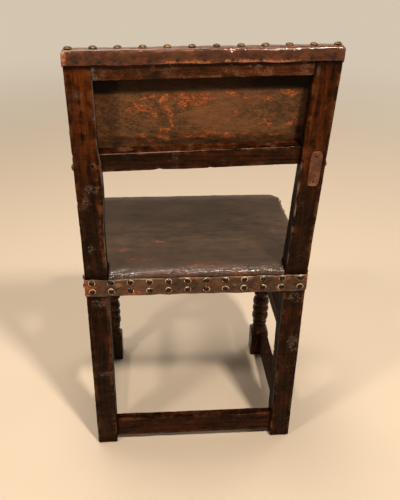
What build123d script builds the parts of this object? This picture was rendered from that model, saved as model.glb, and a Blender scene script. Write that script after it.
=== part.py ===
from build123d import *
import os
from math import atan2, cos, degrees, sin, sqrt, tan

# A seventeenth-century joined oak side chair with a nailed leather seat and back.
# Every length is in millimetres. X runs across the chair, +Y towards its back, +Z up.
# While the pieces are made, Y is 0 at the rear face of the rear feet.

# ---------------------------------------------------------------- driving sizes
rear_width = 460.0            # over the outsides of the rear legs
front_narrowing = 16.0        # the front is this much narrower than the rear
frame_depth = 344.0           # rear face of the rear feet to front face of the front feet
elbow_height = 480.0          # where the rear legs start to lean back
stile_height = 975.0          # top of the wood of the back, over the middle of the chair
back_rake = 70.4              # how far the rear face of the stiles leans back at that height
top_drop = 5.5                # the left end of the top sits this much lower than the right end

leg_size = 46.0               # square of the front legs, and width of the rear legs
rear_leg_depth = 48.0         # rear legs, front to back, up to the elbow
stile_top_depth = 20.0        # the same at the top of the stiles
worn_arris = 2.0              # rounding of the long edges of the legs
foot_wear = 3.0               # rounding under the rear feet

# Back frame: lengths are measured on its sloping front face, downwards from the top.
crest_height = 46.5
crest_thickness = 19.5
crest_drop = 5.0              # the left end of the crest rail sits this much lower
back_opening = 143.7          # between the two rails
lower_rail_height = 37.5
lower_rail_thickness = 22.0
lower_rail_drop = 10.0        # the left end of the lower rail sits this much lower

# Seat frame
seat_frame_drop = 8.0         # top of the seat rails below the elbow
seat_rail_height = 34.0
seat_rail_thickness = 24.0
top_block_reach = 20.0        # square top of the front legs, below the seat rails

# Front leg turning
foot_block_top = 78.0
middle_block_bottom = 205.0
middle_block_top = 300.0
bead_radius = 21.0
neck_radius = 16.0
small_bead_radius = 18.5
bead_heights = (13.0, 28.0, 21.0, 25.0)   # small ring, ball, ring, ring, from the foot up
shoulder_height = 8.0         # corners of a square block turned away next to the turning

# Stretchers
stretcher_thickness = 19.0
rear_stretcher_bottom = 19.0
rear_stretcher_top = 74.0
rear_stretcher_inset = 5.0    # behind it the legs stand proud by this much
low_side_bottom = 22.0
low_side_top = 79.0
high_side_bottom = 245.0
high_side_top = 286.0
side_stretcher_inset = 5.0    # from the outsides of the legs
front_stretcher_height = 250.0
front_tenon_radius = 8.0
front_shank_length = 34.0     # plain tapered end of the turned front stretcher
front_bead_lengths = (13.0, 28.0, 21.0, 28.0, 21.0, 40.0, 21.0, 28.0, 21.0, 28.0, 13.0)

# Joints
tenon_length = 20.0
tenon_thickness = 8.0
tenon_shoulder = 5.0          # the rail stands past its tenon by this much above and below
joint_slack = 0.15            # all round each tenon in its mortise
tenon_end_slack = 1.0         # between the end of a tenon and the bottom of its mortise
peg_radius = 3.2
peg_slack = 0.1
peg_inset = 11.0              # peg centre from the shoulder of its joint
peg_stagger = 7.0             # cross pegs sit this much above the middle of a rail, side pegs below

# Seat upholstery, from the frame upwards
web_width = 48.0
web_thickness = 1.0
web_lap = 16.0                # how far a web lies on its rail
cross_web_count = 3
long_web_count = 3
sackcloth_thickness = 1.0
sackcloth_lap = 14.0
leather = 2.5                 # hide of the seat and the back
band_leather = 2.0            # hide of the nailed bands
lay = 0.3                     # air left between a soft layer and what it lies on
seat_rear_rise = 19.0         # top of the seat above its rails, at the rear
seat_front_rise = 9.0         # and at the front
seat_edge_round = 8.0
seat_corner_round = 4.0
leg_clear = 0.6               # between the seat hide and the rear legs
side_band_margin = 2.0        # the side band shows this much above and below the rails

# Back upholstery
fold_height = 25.0            # hide turned over the top and down the rear face
fold_round = 4.0              # rounding of its two long upper edges
back_hide_margin = 3.0        # from the lower edge of the lower rail up to the edge of the hide

# Nails
head_radius = 6.4
head_height = 4.6
shank_radius = 1.0
shank_length = 13.0
shank_slack = 0.12
rear_nail_columns = 12
rear_nail_edge = 13.3         # outer columns, in from the outsides of the rear legs
rear_nail_insets = (12.5, 8.0)   # rows, from the lower and the upper edge of the rear band
side_nail_insets = (11.0, 7.0)   # the same on the side band
side_nail_count = 7
front_nail_columns = 11
top_nail_count = 12
top_nail_edge = 10.0          # outer nails, in from the outsides of the stiles
top_nail_setback = 15.5       # from the rear edge of the top of the hide
back_nail_inset = 9.0         # from the edges of the hide on the front of the back
back_nail_count = 5           # up each stile
leg_side_nail_setback = 22.0  # on the outsides of the rear legs, from their rear faces
stile_side_nail_setback = 12.0

tack_radius = 2.6
tack_height = 1.2
tack_shank_radius = 0.7
tack_length = 8.0
fold_tack_shares = (0.9, 0.74, 0.59, 0.39, 0.19, 0.0, -0.2, -0.4, -0.6, -0.77, -0.92)
fold_tack_inset = 5.0         # above the lower edge of the fold
web_tack_spacing = 14.0

# Mending plate on the right stile
plate_width = 20.0
plate_length = 77.0
plate_thickness = 2.5
plate_below_rail = 44.0       # its lower end below the lower rail
plate_off_centre = 3.5        # outwards from the middle of the stile
plate_nail_inset = 11.0
plate_nail_radius = 2.4

# ---------------------------------------------------------------- derived places
rear_x = rear_width / 2
front_x = rear_x - front_narrowing / 2
rear_inner_x = rear_x - leg_size
front_inner_x = front_x - leg_size
front_face_y = -frame_depth
front_leg_rear_y = front_face_y + leg_size
front_leg_x = front_x - leg_size / 2
front_leg_y = front_face_y + leg_size / 2
rake_length = stile_height - elbow_height
rear_lean = atan2(back_rake, rake_length)
front_lean = atan2(back_rake - stile_top_depth + rear_leg_depth, rake_length)
seat_rail_top = elbow_height - seat_frame_drop
seat_rail_bottom = seat_rail_top - seat_rail_height
top_block_bottom = seat_rail_bottom - top_block_reach
crest_bottom = stile_height - crest_height
lower_rail_top = crest_bottom - back_opening
lower_rail_bottom = lower_rail_top - lower_rail_height
top_tilt = atan2(top_drop, rear_width)
top_slope = tan(top_tilt)
hide_top = stile_height + (lay + leather) / cos(top_tilt)
shank_taper = 0.6             # a shank's tip, as a share of its radius


def rear_face_y(z, out=0.0):
    """Rear face of the stiles at height z, moved out of the wood by a distance."""
    return (z - elbow_height) * tan(rear_lean) + out / cos(rear_lean)


def front_slope_y(z, out=0.0):
    """Front face of the stiles at height z, moved out of the wood by a distance."""
    return -rear_leg_depth + (z - elbow_height) * tan(front_lean) - out / cos(front_lean)


def up_the_back(z):
    """Distance up the sloping front face of the back, from the elbow to height z."""
    return (z - elbow_height) / cos(front_lean)


# Sketches on this plane have X across and Y up the back; its normal points forwards.
back_plane = Plane(
    origin=(0, -rear_leg_depth, elbow_height),
    x_dir=(1, 0, 0),
    z_dir=(0, -cos(front_lean), sin(front_lean)),
)


# ---------------------------------------------------------------- small makers
def block(x, y, z):
    """Box between the given pairs of coordinates, in any order."""
    low = [min(pair) for pair in (x, y, z)]
    size = [abs(pair[1] - pair[0]) for pair in (x, y, z)]
    return Pos(*low) * Box(*size, align=(Align.MIN, Align.MIN, Align.MIN))


def plan_solid(points, bottom, top):
    """Outline drawn in plan, standing between two heights."""
    return extrude(Pos(0, 0, bottom) * Polygon(*points, align=None), top - bottom, dir=(0, 0, 1))


def profile_solid(points, x_from, x_to):
    """Outline drawn in side view as (y, z), running across the chair."""
    face = Plane.YZ.offset(x_from) * Polygon(*points, align=None)
    return extrude(face, x_to - x_from, dir=(1, 0, 0))


def back_solid(points, out_from, out_to):
    """Outline drawn on the front of the back, between two distances forward of it."""
    face = back_plane.offset(out_from) * Polygon(*points, align=None)
    return extrude(face, out_to - out_from, dir=back_plane.z_dir)


def rod(point, direction, radius, length):
    """Round rod that starts at a point."""
    plane = Plane(origin=point, z_dir=direction)
    return extrude(plane * Circle(radius), length, dir=direction)


def drilled(solid, holes):
    """Solid with a list of holes taken out of it."""
    return solid - holes if holes else solid


def other_side(solid):
    """The same piece for the other side of the chair."""
    return mirror(solid, about=Plane.YZ)


def spread(count, start, end):
    """Evenly spaced values, both ends included."""
    return [start + (end - start) * i / (count - 1) for i in range(count)]


nodes = {}


def keep(name, *shapes):
    """Put finished shapes down under the name of their piece, as plain solids."""
    nodes[name] = [solid for shape in shapes for solid in shape.solids()]


# ---------------------------------------------------------------- nails
def dome_nail(point, direction):
    """Domed brass nail: its head sits on the point, its tapered shank goes in behind."""
    cap = (head_radius**2 + head_height**2) / (2 * head_height)
    half_angle = atan2(head_radius, cap - head_height) / 2
    cap_middle = (cap * sin(half_angle), head_height - cap + cap * cos(half_angle))
    with BuildPart() as nail:
        with BuildSketch(Plane.XZ):
            with BuildLine():
                Line((0, head_height), (0, -shank_length))
                Line((0, -shank_length), (shank_radius * shank_taper, -shank_length))
                Line((shank_radius * shank_taper, -shank_length), (shank_radius, 0))
                Line((shank_radius, 0), (head_radius, 0))
                ThreePointArc((head_radius, 0), cap_middle, (0, head_height))
            make_face()
        revolve(axis=Axis.Z)
    return Plane(origin=point, z_dir=direction) * nail.part


def nail_hole(point, direction):
    """Room for the shank of a domed nail."""
    deep = shank_length + shank_slack
    inward = tuple(-value for value in direction)
    return rod(point, inward, shank_radius + shank_slack, deep)


def below_top(height):
    """Everything under the slightly tilted top, given its height over the middle of the chair."""
    under = block((-rear_width, rear_width), (-frame_depth, frame_depth), (-2 * stile_height, 0))
    return Pos(0, 0, height) * (Rot(0, degrees(top_tilt), 0) * under)


def tack(point, direction, radius=tack_radius):
    """Small flat-headed iron tack."""
    inward = tuple(-value for value in direction)
    head = rod(point, direction, radius, tack_height)
    return head + rod(point, inward, tack_shank_radius, tack_length)


def tack_hole(point, direction):
    """Room for the shank of a tack."""
    inward = tuple(-value for value in direction)
    return rod(point, inward, tack_shank_radius + shank_slack, tack_length + shank_slack)


backwards = (0.0, 1.0, 0.0)
forwards = (0.0, -1.0, 0.0)
upwards = (0.0, 0.0, 1.0)
up_and_back = (0.0, cos(rear_lean), -sin(rear_lean))
up_and_front = tuple(back_plane.z_dir)

# The seat narrows towards the front, so its sides run at a small angle.
side_rail_rear_x = rear_x - leather - lay
side_length = frame_depth - rear_leg_depth - leg_size
side_taper = (side_rail_rear_x - front_x) / (side_length + leg_size)
side_rail_front_x = front_x + side_taper * leg_size


def side_line(rear, front, y):
    """X at depth y on a line from the rear shoulder to the front shoulder of a side rail."""
    share = (-rear_leg_depth - y) / side_length
    return rear + (front - rear) * share


def side_rail_face(y):
    """X of the outer face of the left side rail at depth y, its line carried on past its ends."""
    return side_line(side_rail_rear_x, side_rail_front_x, y)


side_out = lay + leather + lay + band_leather
side_skew = atan2(side_taper, 1)
side_direction = (cos(side_skew), -sin(side_skew), 0.0)
band_rear_y = lay + band_leather
band_front_y = front_face_y - side_out
band_side_x = rear_x + lay + band_leather

rear_band_bottom = seat_rail_bottom
rear_band_top = elbow_height
side_band_bottom = seat_rail_bottom - side_band_margin
side_band_top = seat_rail_top + side_band_margin
rear_nail_rows = (rear_band_bottom + rear_nail_insets[0], rear_band_top - rear_nail_insets[1])
side_nail_rows = (side_band_bottom + side_nail_insets[0], side_band_top - side_nail_insets[1])
rear_columns = spread(rear_nail_columns, rear_nail_edge - rear_x, rear_x - rear_nail_edge)
rear_band_nails = [((x, band_rear_y, z), backwards) for x in rear_columns for z in rear_nail_rows]
leg_side_nails = [
    ((side * band_side_x, -leg_side_nail_setback, z), (side, 0.0, 0.0))
    for side in (1.0, -1.0)
    for z in rear_nail_rows
]
side_nail_depths = spread(
    side_nail_count, -rear_leg_depth - 2 * head_radius, front_face_y + 2 * head_radius
)
side_band_nails = [
    (
        (side * (side_rail_face(y) + side_out / cos(side_skew)), y, z),
        (side * side_direction[0], side_direction[1], 0.0),
    )
    for side in (1.0, -1.0)
    for y in side_nail_depths
    for z in side_nail_rows
]
front_columns = spread(front_nail_columns, front_x - 2 * head_radius, 2 * head_radius - front_x)
front_band_nails = [((x, band_front_y, z), forwards) for x in front_columns for z in side_nail_rows]

top_columns = spread(top_nail_count, top_nail_edge - rear_x, rear_x - top_nail_edge)
top_nail_y = rear_face_y(hide_top, lay + leather) - top_nail_setback
top_up = (sin(top_tilt), 0.0, cos(top_tilt))
top_nails = [((x, top_nail_y, hide_top - x * top_slope), top_up) for x in top_columns]


def on_back_hide(x, up):
    """Point on the front of the back hide, from its place on the back plane."""
    return tuple(back_plane.offset(lay + leather).from_local_coords((x, up, 0)))


hide_bottom = up_the_back(lower_rail_bottom) + back_hide_margin
hide_slope = lower_rail_drop / (2 * rear_x)
hide_nail_bottom = hide_bottom + back_nail_inset
hide_nail_top = up_the_back(stile_height) - back_nail_inset
back_nail_x = rear_x - back_nail_inset
row_columns = [x for x in top_columns if abs(x) < back_nail_x - 2 * head_radius]
back_front_nails = [
    (on_back_hide(side * back_nail_x, up), up_and_front)
    for side in (1, -1)
    for up in spread(
        back_nail_count,
        hide_nail_bottom - side * back_nail_x * hide_slope,
        hide_nail_top - side * back_nail_x * top_slope,
    )
]
back_front_nails += [
    (on_back_hide(x, hide_nail_bottom - x * hide_slope), up_and_front) for x in row_columns
]
stile_side_nail_height = lower_rail_bottom
stile_side_nail_y = rear_face_y(stile_side_nail_height) - stile_side_nail_setback
stile_side_nails = [
    (
        (side * rear_x, stile_side_nail_y, stile_side_nail_height),
        (side, 0.0, 0.0),
    )
    for side in (1.0, -1.0)
]

fold_bottom = hide_top - fold_height
fold_tack_z = fold_bottom + fold_tack_inset


def fold_tack(x):
    """Tack near the lower edge of the fold, at x across the chair."""
    z = fold_tack_z - x * top_slope
    return ((x, rear_face_y(z, lay + leather), z), up_and_back)


fold_tacks = [fold_tack(share * rear_x) for share in fold_tack_shares]


plate_bottom = lower_rail_bottom - plate_below_rail
plate_x = -(rear_x - leg_size / 2 + plate_off_centre)
plate_nail_heights = (plate_bottom + plate_nail_inset, plate_bottom + plate_length - plate_nail_inset)
plate_nails = [((plate_x, rear_face_y(z, plate_thickness), z), up_and_back) for z in plate_nail_heights]

# Webbing: three webs across the seat, three from front to back on top of them.
web_middle_y = (-rear_leg_depth + front_leg_rear_y) / 2
web_pitch_y = side_length / cross_web_count
cross_web_places = [
    web_middle_y + web_pitch_y * (i - (cross_web_count - 1) / 2) for i in range(cross_web_count)
]
web_pitch_x = 2 * front_inner_x / long_web_count
long_web_places = [web_pitch_x * (i - (long_web_count - 1) / 2) for i in range(long_web_count)]
rear_rail_rear_y = -lay - leather
rear_rail_front_y = rear_rail_rear_y - seat_rail_thickness
front_rail_rear_y = front_face_y + seat_rail_thickness
cross_web_top = seat_rail_top + web_thickness
long_web_top = cross_web_top + web_thickness


def rail_inner_x(y):
    """Inner face of the left side rail at depth y."""
    return side_rail_face(y) - seat_rail_thickness


cross_web_tacks = [
    ((side * (rail_inner_x(y) + web_lap / 2), y + offset, cross_web_top), upwards)
    for side in (1, -1)
    for y in cross_web_places
    for offset in (-web_tack_spacing, 0, web_tack_spacing)
]
long_web_tacks = [
    ((x + offset, y, long_web_top), upwards)
    for x in long_web_places
    for y in (rear_rail_front_y + web_lap / 2, front_rail_rear_y - web_lap / 2)
    for offset in (-web_tack_spacing, 0, web_tack_spacing)
]


# ---------------------------------------------------------------- tenons
def back_tenon(low_z, high_z, drop, thickness, slack=0.0):
    """Tenons at both ends of a rail of the back, as one bar that runs right through it."""
    reach = rear_inner_x + tenon_length + (tenon_end_slack if slack else 0.0)
    fall = drop / (2 * rear_inner_x) * reach
    low = up_the_back(low_z) + tenon_shoulder - slack
    high = up_the_back(high_z) - tenon_shoulder + slack
    middle = -thickness / 2
    half = tenon_thickness / 2 + slack
    outline = [(-reach, low + fall), (reach, low - fall), (reach, high - fall), (-reach, high + fall)]
    return back_solid(outline, middle - half, middle + half)


def cross_tenon(inner_x, middle_y, bottom, top, slack=0.0):
    """Tenons of a rail that runs straight across the chair, as one bar."""
    reach = inner_x + tenon_length + (tenon_end_slack if slack else 0.0)
    half = tenon_thickness / 2 + slack
    return block(
        (-reach, reach),
        (middle_y - half, middle_y + half),
        (bottom + tenon_shoulder - slack, top - tenon_shoulder + slack),
    )


def side_outline(outer_rear, outer_front, inset, thickness, past):
    """Plan of a bar of the left side, running past both shoulders by a distance."""
    rear_y = -rear_leg_depth + past
    front_y = front_leg_rear_y - past
    outer = [side_line(outer_rear, outer_front, y) - inset for y in (rear_y, front_y)]
    return [
        (outer[0], rear_y),
        (outer[1], front_y),
        (outer[1] - thickness, front_y),
        (outer[0] - thickness, rear_y),
    ]


def side_tenon(outer_rear, outer_front, thickness, bottom, top, slack=0.0):
    """Tenons of a bar of the left side, as one bar."""
    inset = (thickness - tenon_thickness) / 2 - slack
    past = tenon_length + (tenon_end_slack if slack else 0.0)
    outline = side_outline(outer_rear, outer_front, inset, tenon_thickness + 2 * slack, past)
    return plan_solid(outline, bottom + tenon_shoulder - slack, top - tenon_shoulder + slack)


side_rails = (side_rail_rear_x, side_rail_front_x, seat_rail_thickness, seat_rail_bottom, seat_rail_top)
side_stretchers = (rear_x - side_stretcher_inset, front_x - side_stretcher_inset, stretcher_thickness)
low_stretchers = (*side_stretchers, low_side_bottom, low_side_top)
high_stretchers = (*side_stretchers, high_side_bottom, high_side_top)
crest_ends = (crest_bottom, stile_height, crest_drop, crest_thickness)
lower_rail_ends = (lower_rail_bottom, lower_rail_top, lower_rail_drop, lower_rail_thickness)
rear_rail_y = (rear_rail_rear_y + rear_rail_front_y) / 2
rear_rail_ends = (rear_inner_x, rear_rail_y, seat_rail_bottom, seat_rail_top)
front_rail_y = (front_face_y + front_rail_rear_y) / 2
front_rail_ends = (front_inner_x, front_rail_y, seat_rail_bottom, seat_rail_top)
rear_stretcher_y = -rear_stretcher_inset - stretcher_thickness / 2
rear_stretcher_ends = (rear_inner_x, rear_stretcher_y, rear_stretcher_bottom, rear_stretcher_top)

# ---------------------------------------------------------------- pegs
# Each joint is held by one oak peg, driven through the leg and the tenon.
# A peg is (start, direction, length); it is cut flush with the leg afterwards.
through = 2 * rear_leg_depth


def back_peg(side, low_z, high_z, drop, thickness):
    """Peg through a stile and the tenon of a rail of the back."""
    x = side * (rear_inner_x + peg_inset)
    up = (up_the_back(low_z) + up_the_back(high_z)) / 2 - side * drop / 2
    start = tuple(back_plane.from_local_coords((x, up, rear_leg_depth)))
    return (start, tuple(-value for value in up_and_front), through)


def peg_across(x, z):
    """Peg that runs from front to back through a leg."""
    return ((x, rear_leg_depth, z), forwards, frame_depth + through)


def peg_along(side, y, z):
    """Peg that runs in from the outside of a leg."""
    return ((side * (rear_x + leg_size), y, z), (-side, 0.0, 0.0), 2 * leg_size)


def middle(bottom, top):
    """Height half-way up a rail."""
    return (bottom + top) / 2


seat_peg_z = middle(seat_rail_bottom, seat_rail_top) + peg_stagger
rear_stretcher_peg_z = middle(rear_stretcher_bottom, rear_stretcher_top) + peg_stagger
side_peg_rear_y = -rear_leg_depth + peg_inset
side_peg_front_y = front_leg_rear_y - peg_inset
side_peg_heights = [
    middle(ends[3], ends[4]) - peg_stagger for ends in (side_rails, low_stretchers, high_stretchers)
]

back_pegs = {
    side: [back_peg(side, *crest_ends), back_peg(side, *lower_rail_ends)] for side in (1, -1)
}
rear_leg_pegs = {
    side: [peg_across(side * (rear_inner_x + peg_inset), seat_peg_z)]
    + [peg_across(side * (rear_inner_x + peg_inset), rear_stretcher_peg_z)]
    + [peg_along(side, side_peg_rear_y, z) for z in side_peg_heights]
    for side in (1, -1)
}
front_leg_pegs = {
    side: [peg_across(side * (front_inner_x + peg_inset), seat_peg_z)]
    + [peg_across(side * (front_inner_x + peg_inset), front_stretcher_height)]
    + [peg_along(side, side_peg_front_y, z) for z in side_peg_heights]
    for side in (1, -1)
}


def peg_rods(pegs, slack=0.0):
    """Rods along a list of pegs, with room round them if wanted."""
    return [rod(start, direction, peg_radius + slack, length) for start, direction, length in pegs]


def pegs_in(leg, pegs):
    """Pegs cut off flush with both faces of the leg that they go through."""
    return [(leg & peg).solids()[0] for peg in peg_rods(pegs)]


# ---------------------------------------------------------------- rear legs and stiles
stile_reach = stile_height + top_drop    # the tilted top is cut after the board is shaped
stile_profile = [
    (0, 0),
    (0, elbow_height),
    (rear_face_y(stile_reach), stile_reach),
    (front_slope_y(stile_reach), stile_reach),
    (-rear_leg_depth, elbow_height),
    (-rear_leg_depth, 0),
]


def rear_leg_blank():
    """Rear leg and stile of the left side, cut from one board, with its edges worn round."""
    leg = profile_solid(stile_profile, rear_inner_x, rear_x)
    upright = leg.edges().filter_by(lambda edge: edge.length > elbow_height / 2)
    leg = fillet(upright, worn_arris)
    under = leg.faces().sort_by(Axis.Z)[0].edges()
    return fillet(under, foot_wear)


rear_leg_mortises = [
    back_tenon(*crest_ends, joint_slack),
    back_tenon(*lower_rail_ends, joint_slack),
    cross_tenon(*rear_rail_ends, joint_slack),
    cross_tenon(*rear_stretcher_ends, joint_slack),
]
side_mortises = [side_tenon(*ends, joint_slack) for ends in (side_rails, low_stretchers, high_stretchers)]
leg_nail_holes = [nail_hole(*nail) for nail in rear_band_nails + leg_side_nails + back_front_nails]
leg_nail_holes += [nail_hole(*nail) for nail in top_nails + stile_side_nails]
leg_nail_holes += [tack_hole(*place) for place in fold_tacks + plate_nails]


def holes_near(holes, side):
    """Only the holes on one side of the chair."""
    return [hole for hole in holes if hole.center().X * side > 0]


left_blank = rear_leg_blank()
wood_below_top = below_top(stile_height)
rear_legs = {1: left_blank & wood_below_top, -1: other_side(left_blank) & wood_below_top}
for side, name in ((1, "rear_leg_left"), (-1, "rear_leg_right")):
    blank = rear_legs[side]
    mortises = rear_leg_mortises + (side_mortises if side > 0 else [other_side(m) for m in side_mortises])
    leg = drilled(blank, mortises)
    leg = drilled(leg, peg_rods(back_pegs[side] + rear_leg_pegs[side], peg_slack))
    leg = drilled(leg, holes_near(leg_nail_holes, side))
    keep(name, leg)

# ---------------------------------------------------------------- front legs
def bead_points(start, lengths, radii):
    """Start, length and radius of each bead of a run of turning."""
    places = []
    at = start
    for length, radius in zip(lengths, radii):
        places.append((at, length, radius))
        at += length
    return places


def turned_run(places, start, end, start_radius, end_radius):
    """Run of rounded beads on the Z axis, with a hollow sweep at either end."""
    with BuildPart() as turning:
        with BuildSketch(Plane.XZ):
            with BuildLine():
                Line((0, end), (0, start))
                Line((0, start), (start_radius, start))
                Line((start_radius, start), (neck_radius, places[0][0]))
                for at, length, radius in places:
                    ThreePointArc((neck_radius, at), (radius, at + length / 2), (neck_radius, at + length))
                Line((neck_radius, places[-1][0] + places[-1][1]), (end_radius, end))
                Line((end_radius, end), (0, end))
            make_face()
        revolve(axis=Axis.Z)
    return turning.part


def square_block(bottom, top, turned_below, turned_above):
    """Square of a turned leg; its corners are turned away next to the turning."""
    half = leg_size / 2
    square = block((-half, half), (-half, half), (bottom, top))
    square = chamfer(square.edges().filter_by(Axis.Z), worn_arris / 2)
    corner = half * sqrt(2)
    outline = [(0, bottom), (half if turned_below else corner, bottom)]
    if turned_below:
        outline.append((corner, bottom + shoulder_height))
    if turned_above:
        outline.append((corner, top - shoulder_height))
    outline += [(half if turned_above else corner, top), (0, top)]
    turned = revolve(Plane.XZ * Polygon(*outline, align=None), axis=Axis.Z)
    return square & turned


low_run = middle_block_bottom - foot_block_top
bead_radii = (small_bead_radius, bead_radius, bead_radius, bead_radius)
low_sweep = (low_run - sum(bead_heights)) / 2
high_run = top_block_bottom - middle_block_top
high_share = high_run / low_run
high_heights = [height * high_share for height in reversed(bead_heights)]
high_sweep = low_sweep * high_share


def front_leg_blank():
    """Turned front leg, standing on the Z axis."""
    low_beads = bead_points(foot_block_top + low_sweep, bead_heights, bead_radii)
    high_beads = bead_points(middle_block_top + high_sweep, high_heights, tuple(reversed(bead_radii)))
    leg = square_block(0, foot_block_top, False, True)
    leg += turned_run(low_beads, foot_block_top, middle_block_bottom, bead_radius, bead_radius)
    leg += square_block(middle_block_bottom, middle_block_top, True, True)
    leg += turned_run(high_beads, middle_block_top, top_block_bottom, bead_radius, bead_radius)
    leg += square_block(top_block_bottom, seat_rail_top, True, False)
    return leg


def front_stretcher_tenon(slack=0.0):
    """Round tenons of the turned front stretcher, as one rod."""
    reach = front_inner_x + tenon_length + (tenon_end_slack if slack else 0.0)
    start = (-reach, front_leg_y, front_stretcher_height)
    return rod(start, (1, 0, 0), front_tenon_radius + slack, 2 * reach)


front_leg_mortises = [cross_tenon(*front_rail_ends, joint_slack), front_stretcher_tenon(joint_slack)]
front_holes = [nail_hole(*nail) for nail in side_band_nails + front_band_nails]
front_legs = {}
for side, name in ((1, "front_leg_left"), (-1, "front_leg_right")):
    blank = Pos(side * front_leg_x, front_leg_y, 0) * front_leg_blank()
    front_legs[side] = blank
    mortises = front_leg_mortises + (side_mortises if side > 0 else [other_side(m) for m in side_mortises])
    leg = drilled(blank, mortises)
    leg = drilled(leg, peg_rods(front_leg_pegs[side], peg_slack))
    leg = drilled(leg, holes_near(front_holes, side))
    keep(name, leg)

# ---------------------------------------------------------------- rails of the back
def back_rail(low_z, high_z, drop, thickness, extra=0.0):
    """Rail of the back, flush with the front faces of the stiles, with extra wood above."""
    fall = drop / 2
    low = up_the_back(low_z)
    high = up_the_back(high_z) + extra
    outline = [
        (-rear_inner_x, low + fall),
        (rear_inner_x, low - fall),
        (rear_inner_x, high - fall),
        (-rear_inner_x, high + fall),
    ]
    return back_solid(outline, -thickness, 0) + back_tenon(low_z, high_z, drop, thickness)


all_back_pegs = peg_rods(back_pegs[1] + back_pegs[-1], peg_slack)
back_holes = [nail_hole(*nail) for nail in back_front_nails + top_nails]
back_holes += [tack_hole(*place) for place in fold_tacks]
back_rails = {
    "crest_rail": back_rail(*crest_ends, top_drop) & wood_below_top,
    "lower_back_rail": back_rail(*lower_rail_ends),
}
for name, rail in back_rails.items():
    keep(name, drilled(drilled(rail, all_back_pegs), back_holes))

# ---------------------------------------------------------------- rails of the seat
all_leg_pegs = peg_rods(
    rear_leg_pegs[1] + rear_leg_pegs[-1] + front_leg_pegs[1] + front_leg_pegs[-1], peg_slack
)
web_holes = [tack_hole(*place) for place in cross_web_tacks + long_web_tacks]
rear_rail = block(
    (-rear_inner_x, rear_inner_x), (rear_rail_rear_y, rear_rail_front_y), (seat_rail_bottom, seat_rail_top)
)
rear_rail += cross_tenon(*rear_rail_ends)
rear_rail_holes = [nail_hole(*nail) for nail in rear_band_nails]
keep("rear_seat_rail", drilled(drilled(rear_rail, all_leg_pegs), rear_rail_holes + web_holes))

front_rail = block(
    (-front_inner_x, front_inner_x), (front_face_y, front_rail_rear_y), (seat_rail_bottom, seat_rail_top)
)
front_rail += cross_tenon(*front_rail_ends)
keep("front_seat_rail", drilled(drilled(front_rail, all_leg_pegs), front_holes + web_holes))


def side_bar(ends):
    """Bar of the left side with its tenons, from its ends, thickness and heights."""
    outer_rear, outer_front, thickness, bottom, top = ends
    outline = side_outline(outer_rear, outer_front, 0, thickness, 0)
    return plan_solid(outline, bottom, top) + side_tenon(*ends)


for side, hand in ((1, "left"), (-1, "right")):
    rail = side_bar(side_rails)
    rail = rail if side > 0 else other_side(rail)
    keep(f"side_seat_rail_{hand}", drilled(drilled(rail, all_leg_pegs), front_holes + web_holes))

# ---------------------------------------------------------------- stretchers
rear_stretcher = block(
    (-rear_inner_x, rear_inner_x),
    (-rear_stretcher_inset, -rear_stretcher_inset - stretcher_thickness),
    (rear_stretcher_bottom, rear_stretcher_top),
)
keep("rear_stretcher", drilled(rear_stretcher + cross_tenon(*rear_stretcher_ends), all_leg_pegs))

for name, ends in (("low", low_stretchers), ("high", high_stretchers)):
    for side, hand in ((1, "left"), (-1, "right")):
        bar = side_bar(ends)
        bar = bar if side > 0 else other_side(bar)
        keep(f"{name}_side_stretcher_{hand}", drilled(bar, all_leg_pegs))

bead_total = sum(front_bead_lengths)
stretch = (2 * front_inner_x - 2 * front_shank_length) / bead_total
front_lengths = [length * stretch for length in front_bead_lengths]
end_ring = front_bead_lengths[0]
front_radii = [small_bead_radius if length == end_ring else bead_radius for length in front_bead_lengths]
front_run = bead_points(front_shank_length - front_inner_x, front_lengths, front_radii)
front_turning = turned_run(
    front_run, -front_inner_x, front_inner_x, front_tenon_radius * 1.5, front_tenon_radius * 1.5
)
front_turning = Pos(0, front_leg_y, front_stretcher_height) * (Rot(0, 90, 0) * front_turning)
keep("front_stretcher", drilled(front_turning + front_stretcher_tenon(), all_leg_pegs))

# ---------------------------------------------------------------- pegs, as pieces
keep("back_frame_pegs", *[peg for side in (1, -1) for peg in pegs_in(rear_legs[side], back_pegs[side])])
keep("rear_leg_pegs", *[peg for side in (1, -1) for peg in pegs_in(rear_legs[side], rear_leg_pegs[side])])
keep("front_leg_pegs", *[peg for side in (1, -1) for peg in pegs_in(front_legs[side], front_leg_pegs[side])])

# ---------------------------------------------------------------- webbing and sackcloth
cross_webs = []
for y in cross_web_places:
    ends = [(rail_inner_x(y + web_width / 2) + web_lap, y + web_width / 2)]
    ends += [(rail_inner_x(y - web_width / 2) + web_lap, y - web_width / 2)]
    outline = ends + [(-x, depth) for x, depth in reversed(ends)]
    cross_webs.append(drilled(plan_solid(outline, seat_rail_top, cross_web_top), web_holes))
keep("cross_webbing", *cross_webs)

long_web_y = (rear_rail_front_y + web_lap, front_rail_rear_y - web_lap)
long_webs = [
    drilled(
        block((x - web_width / 2, x + web_width / 2), long_web_y, (cross_web_top, long_web_top)), web_holes
    )
    for x in long_web_places
]
keep("long_webbing", *long_webs)

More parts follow.
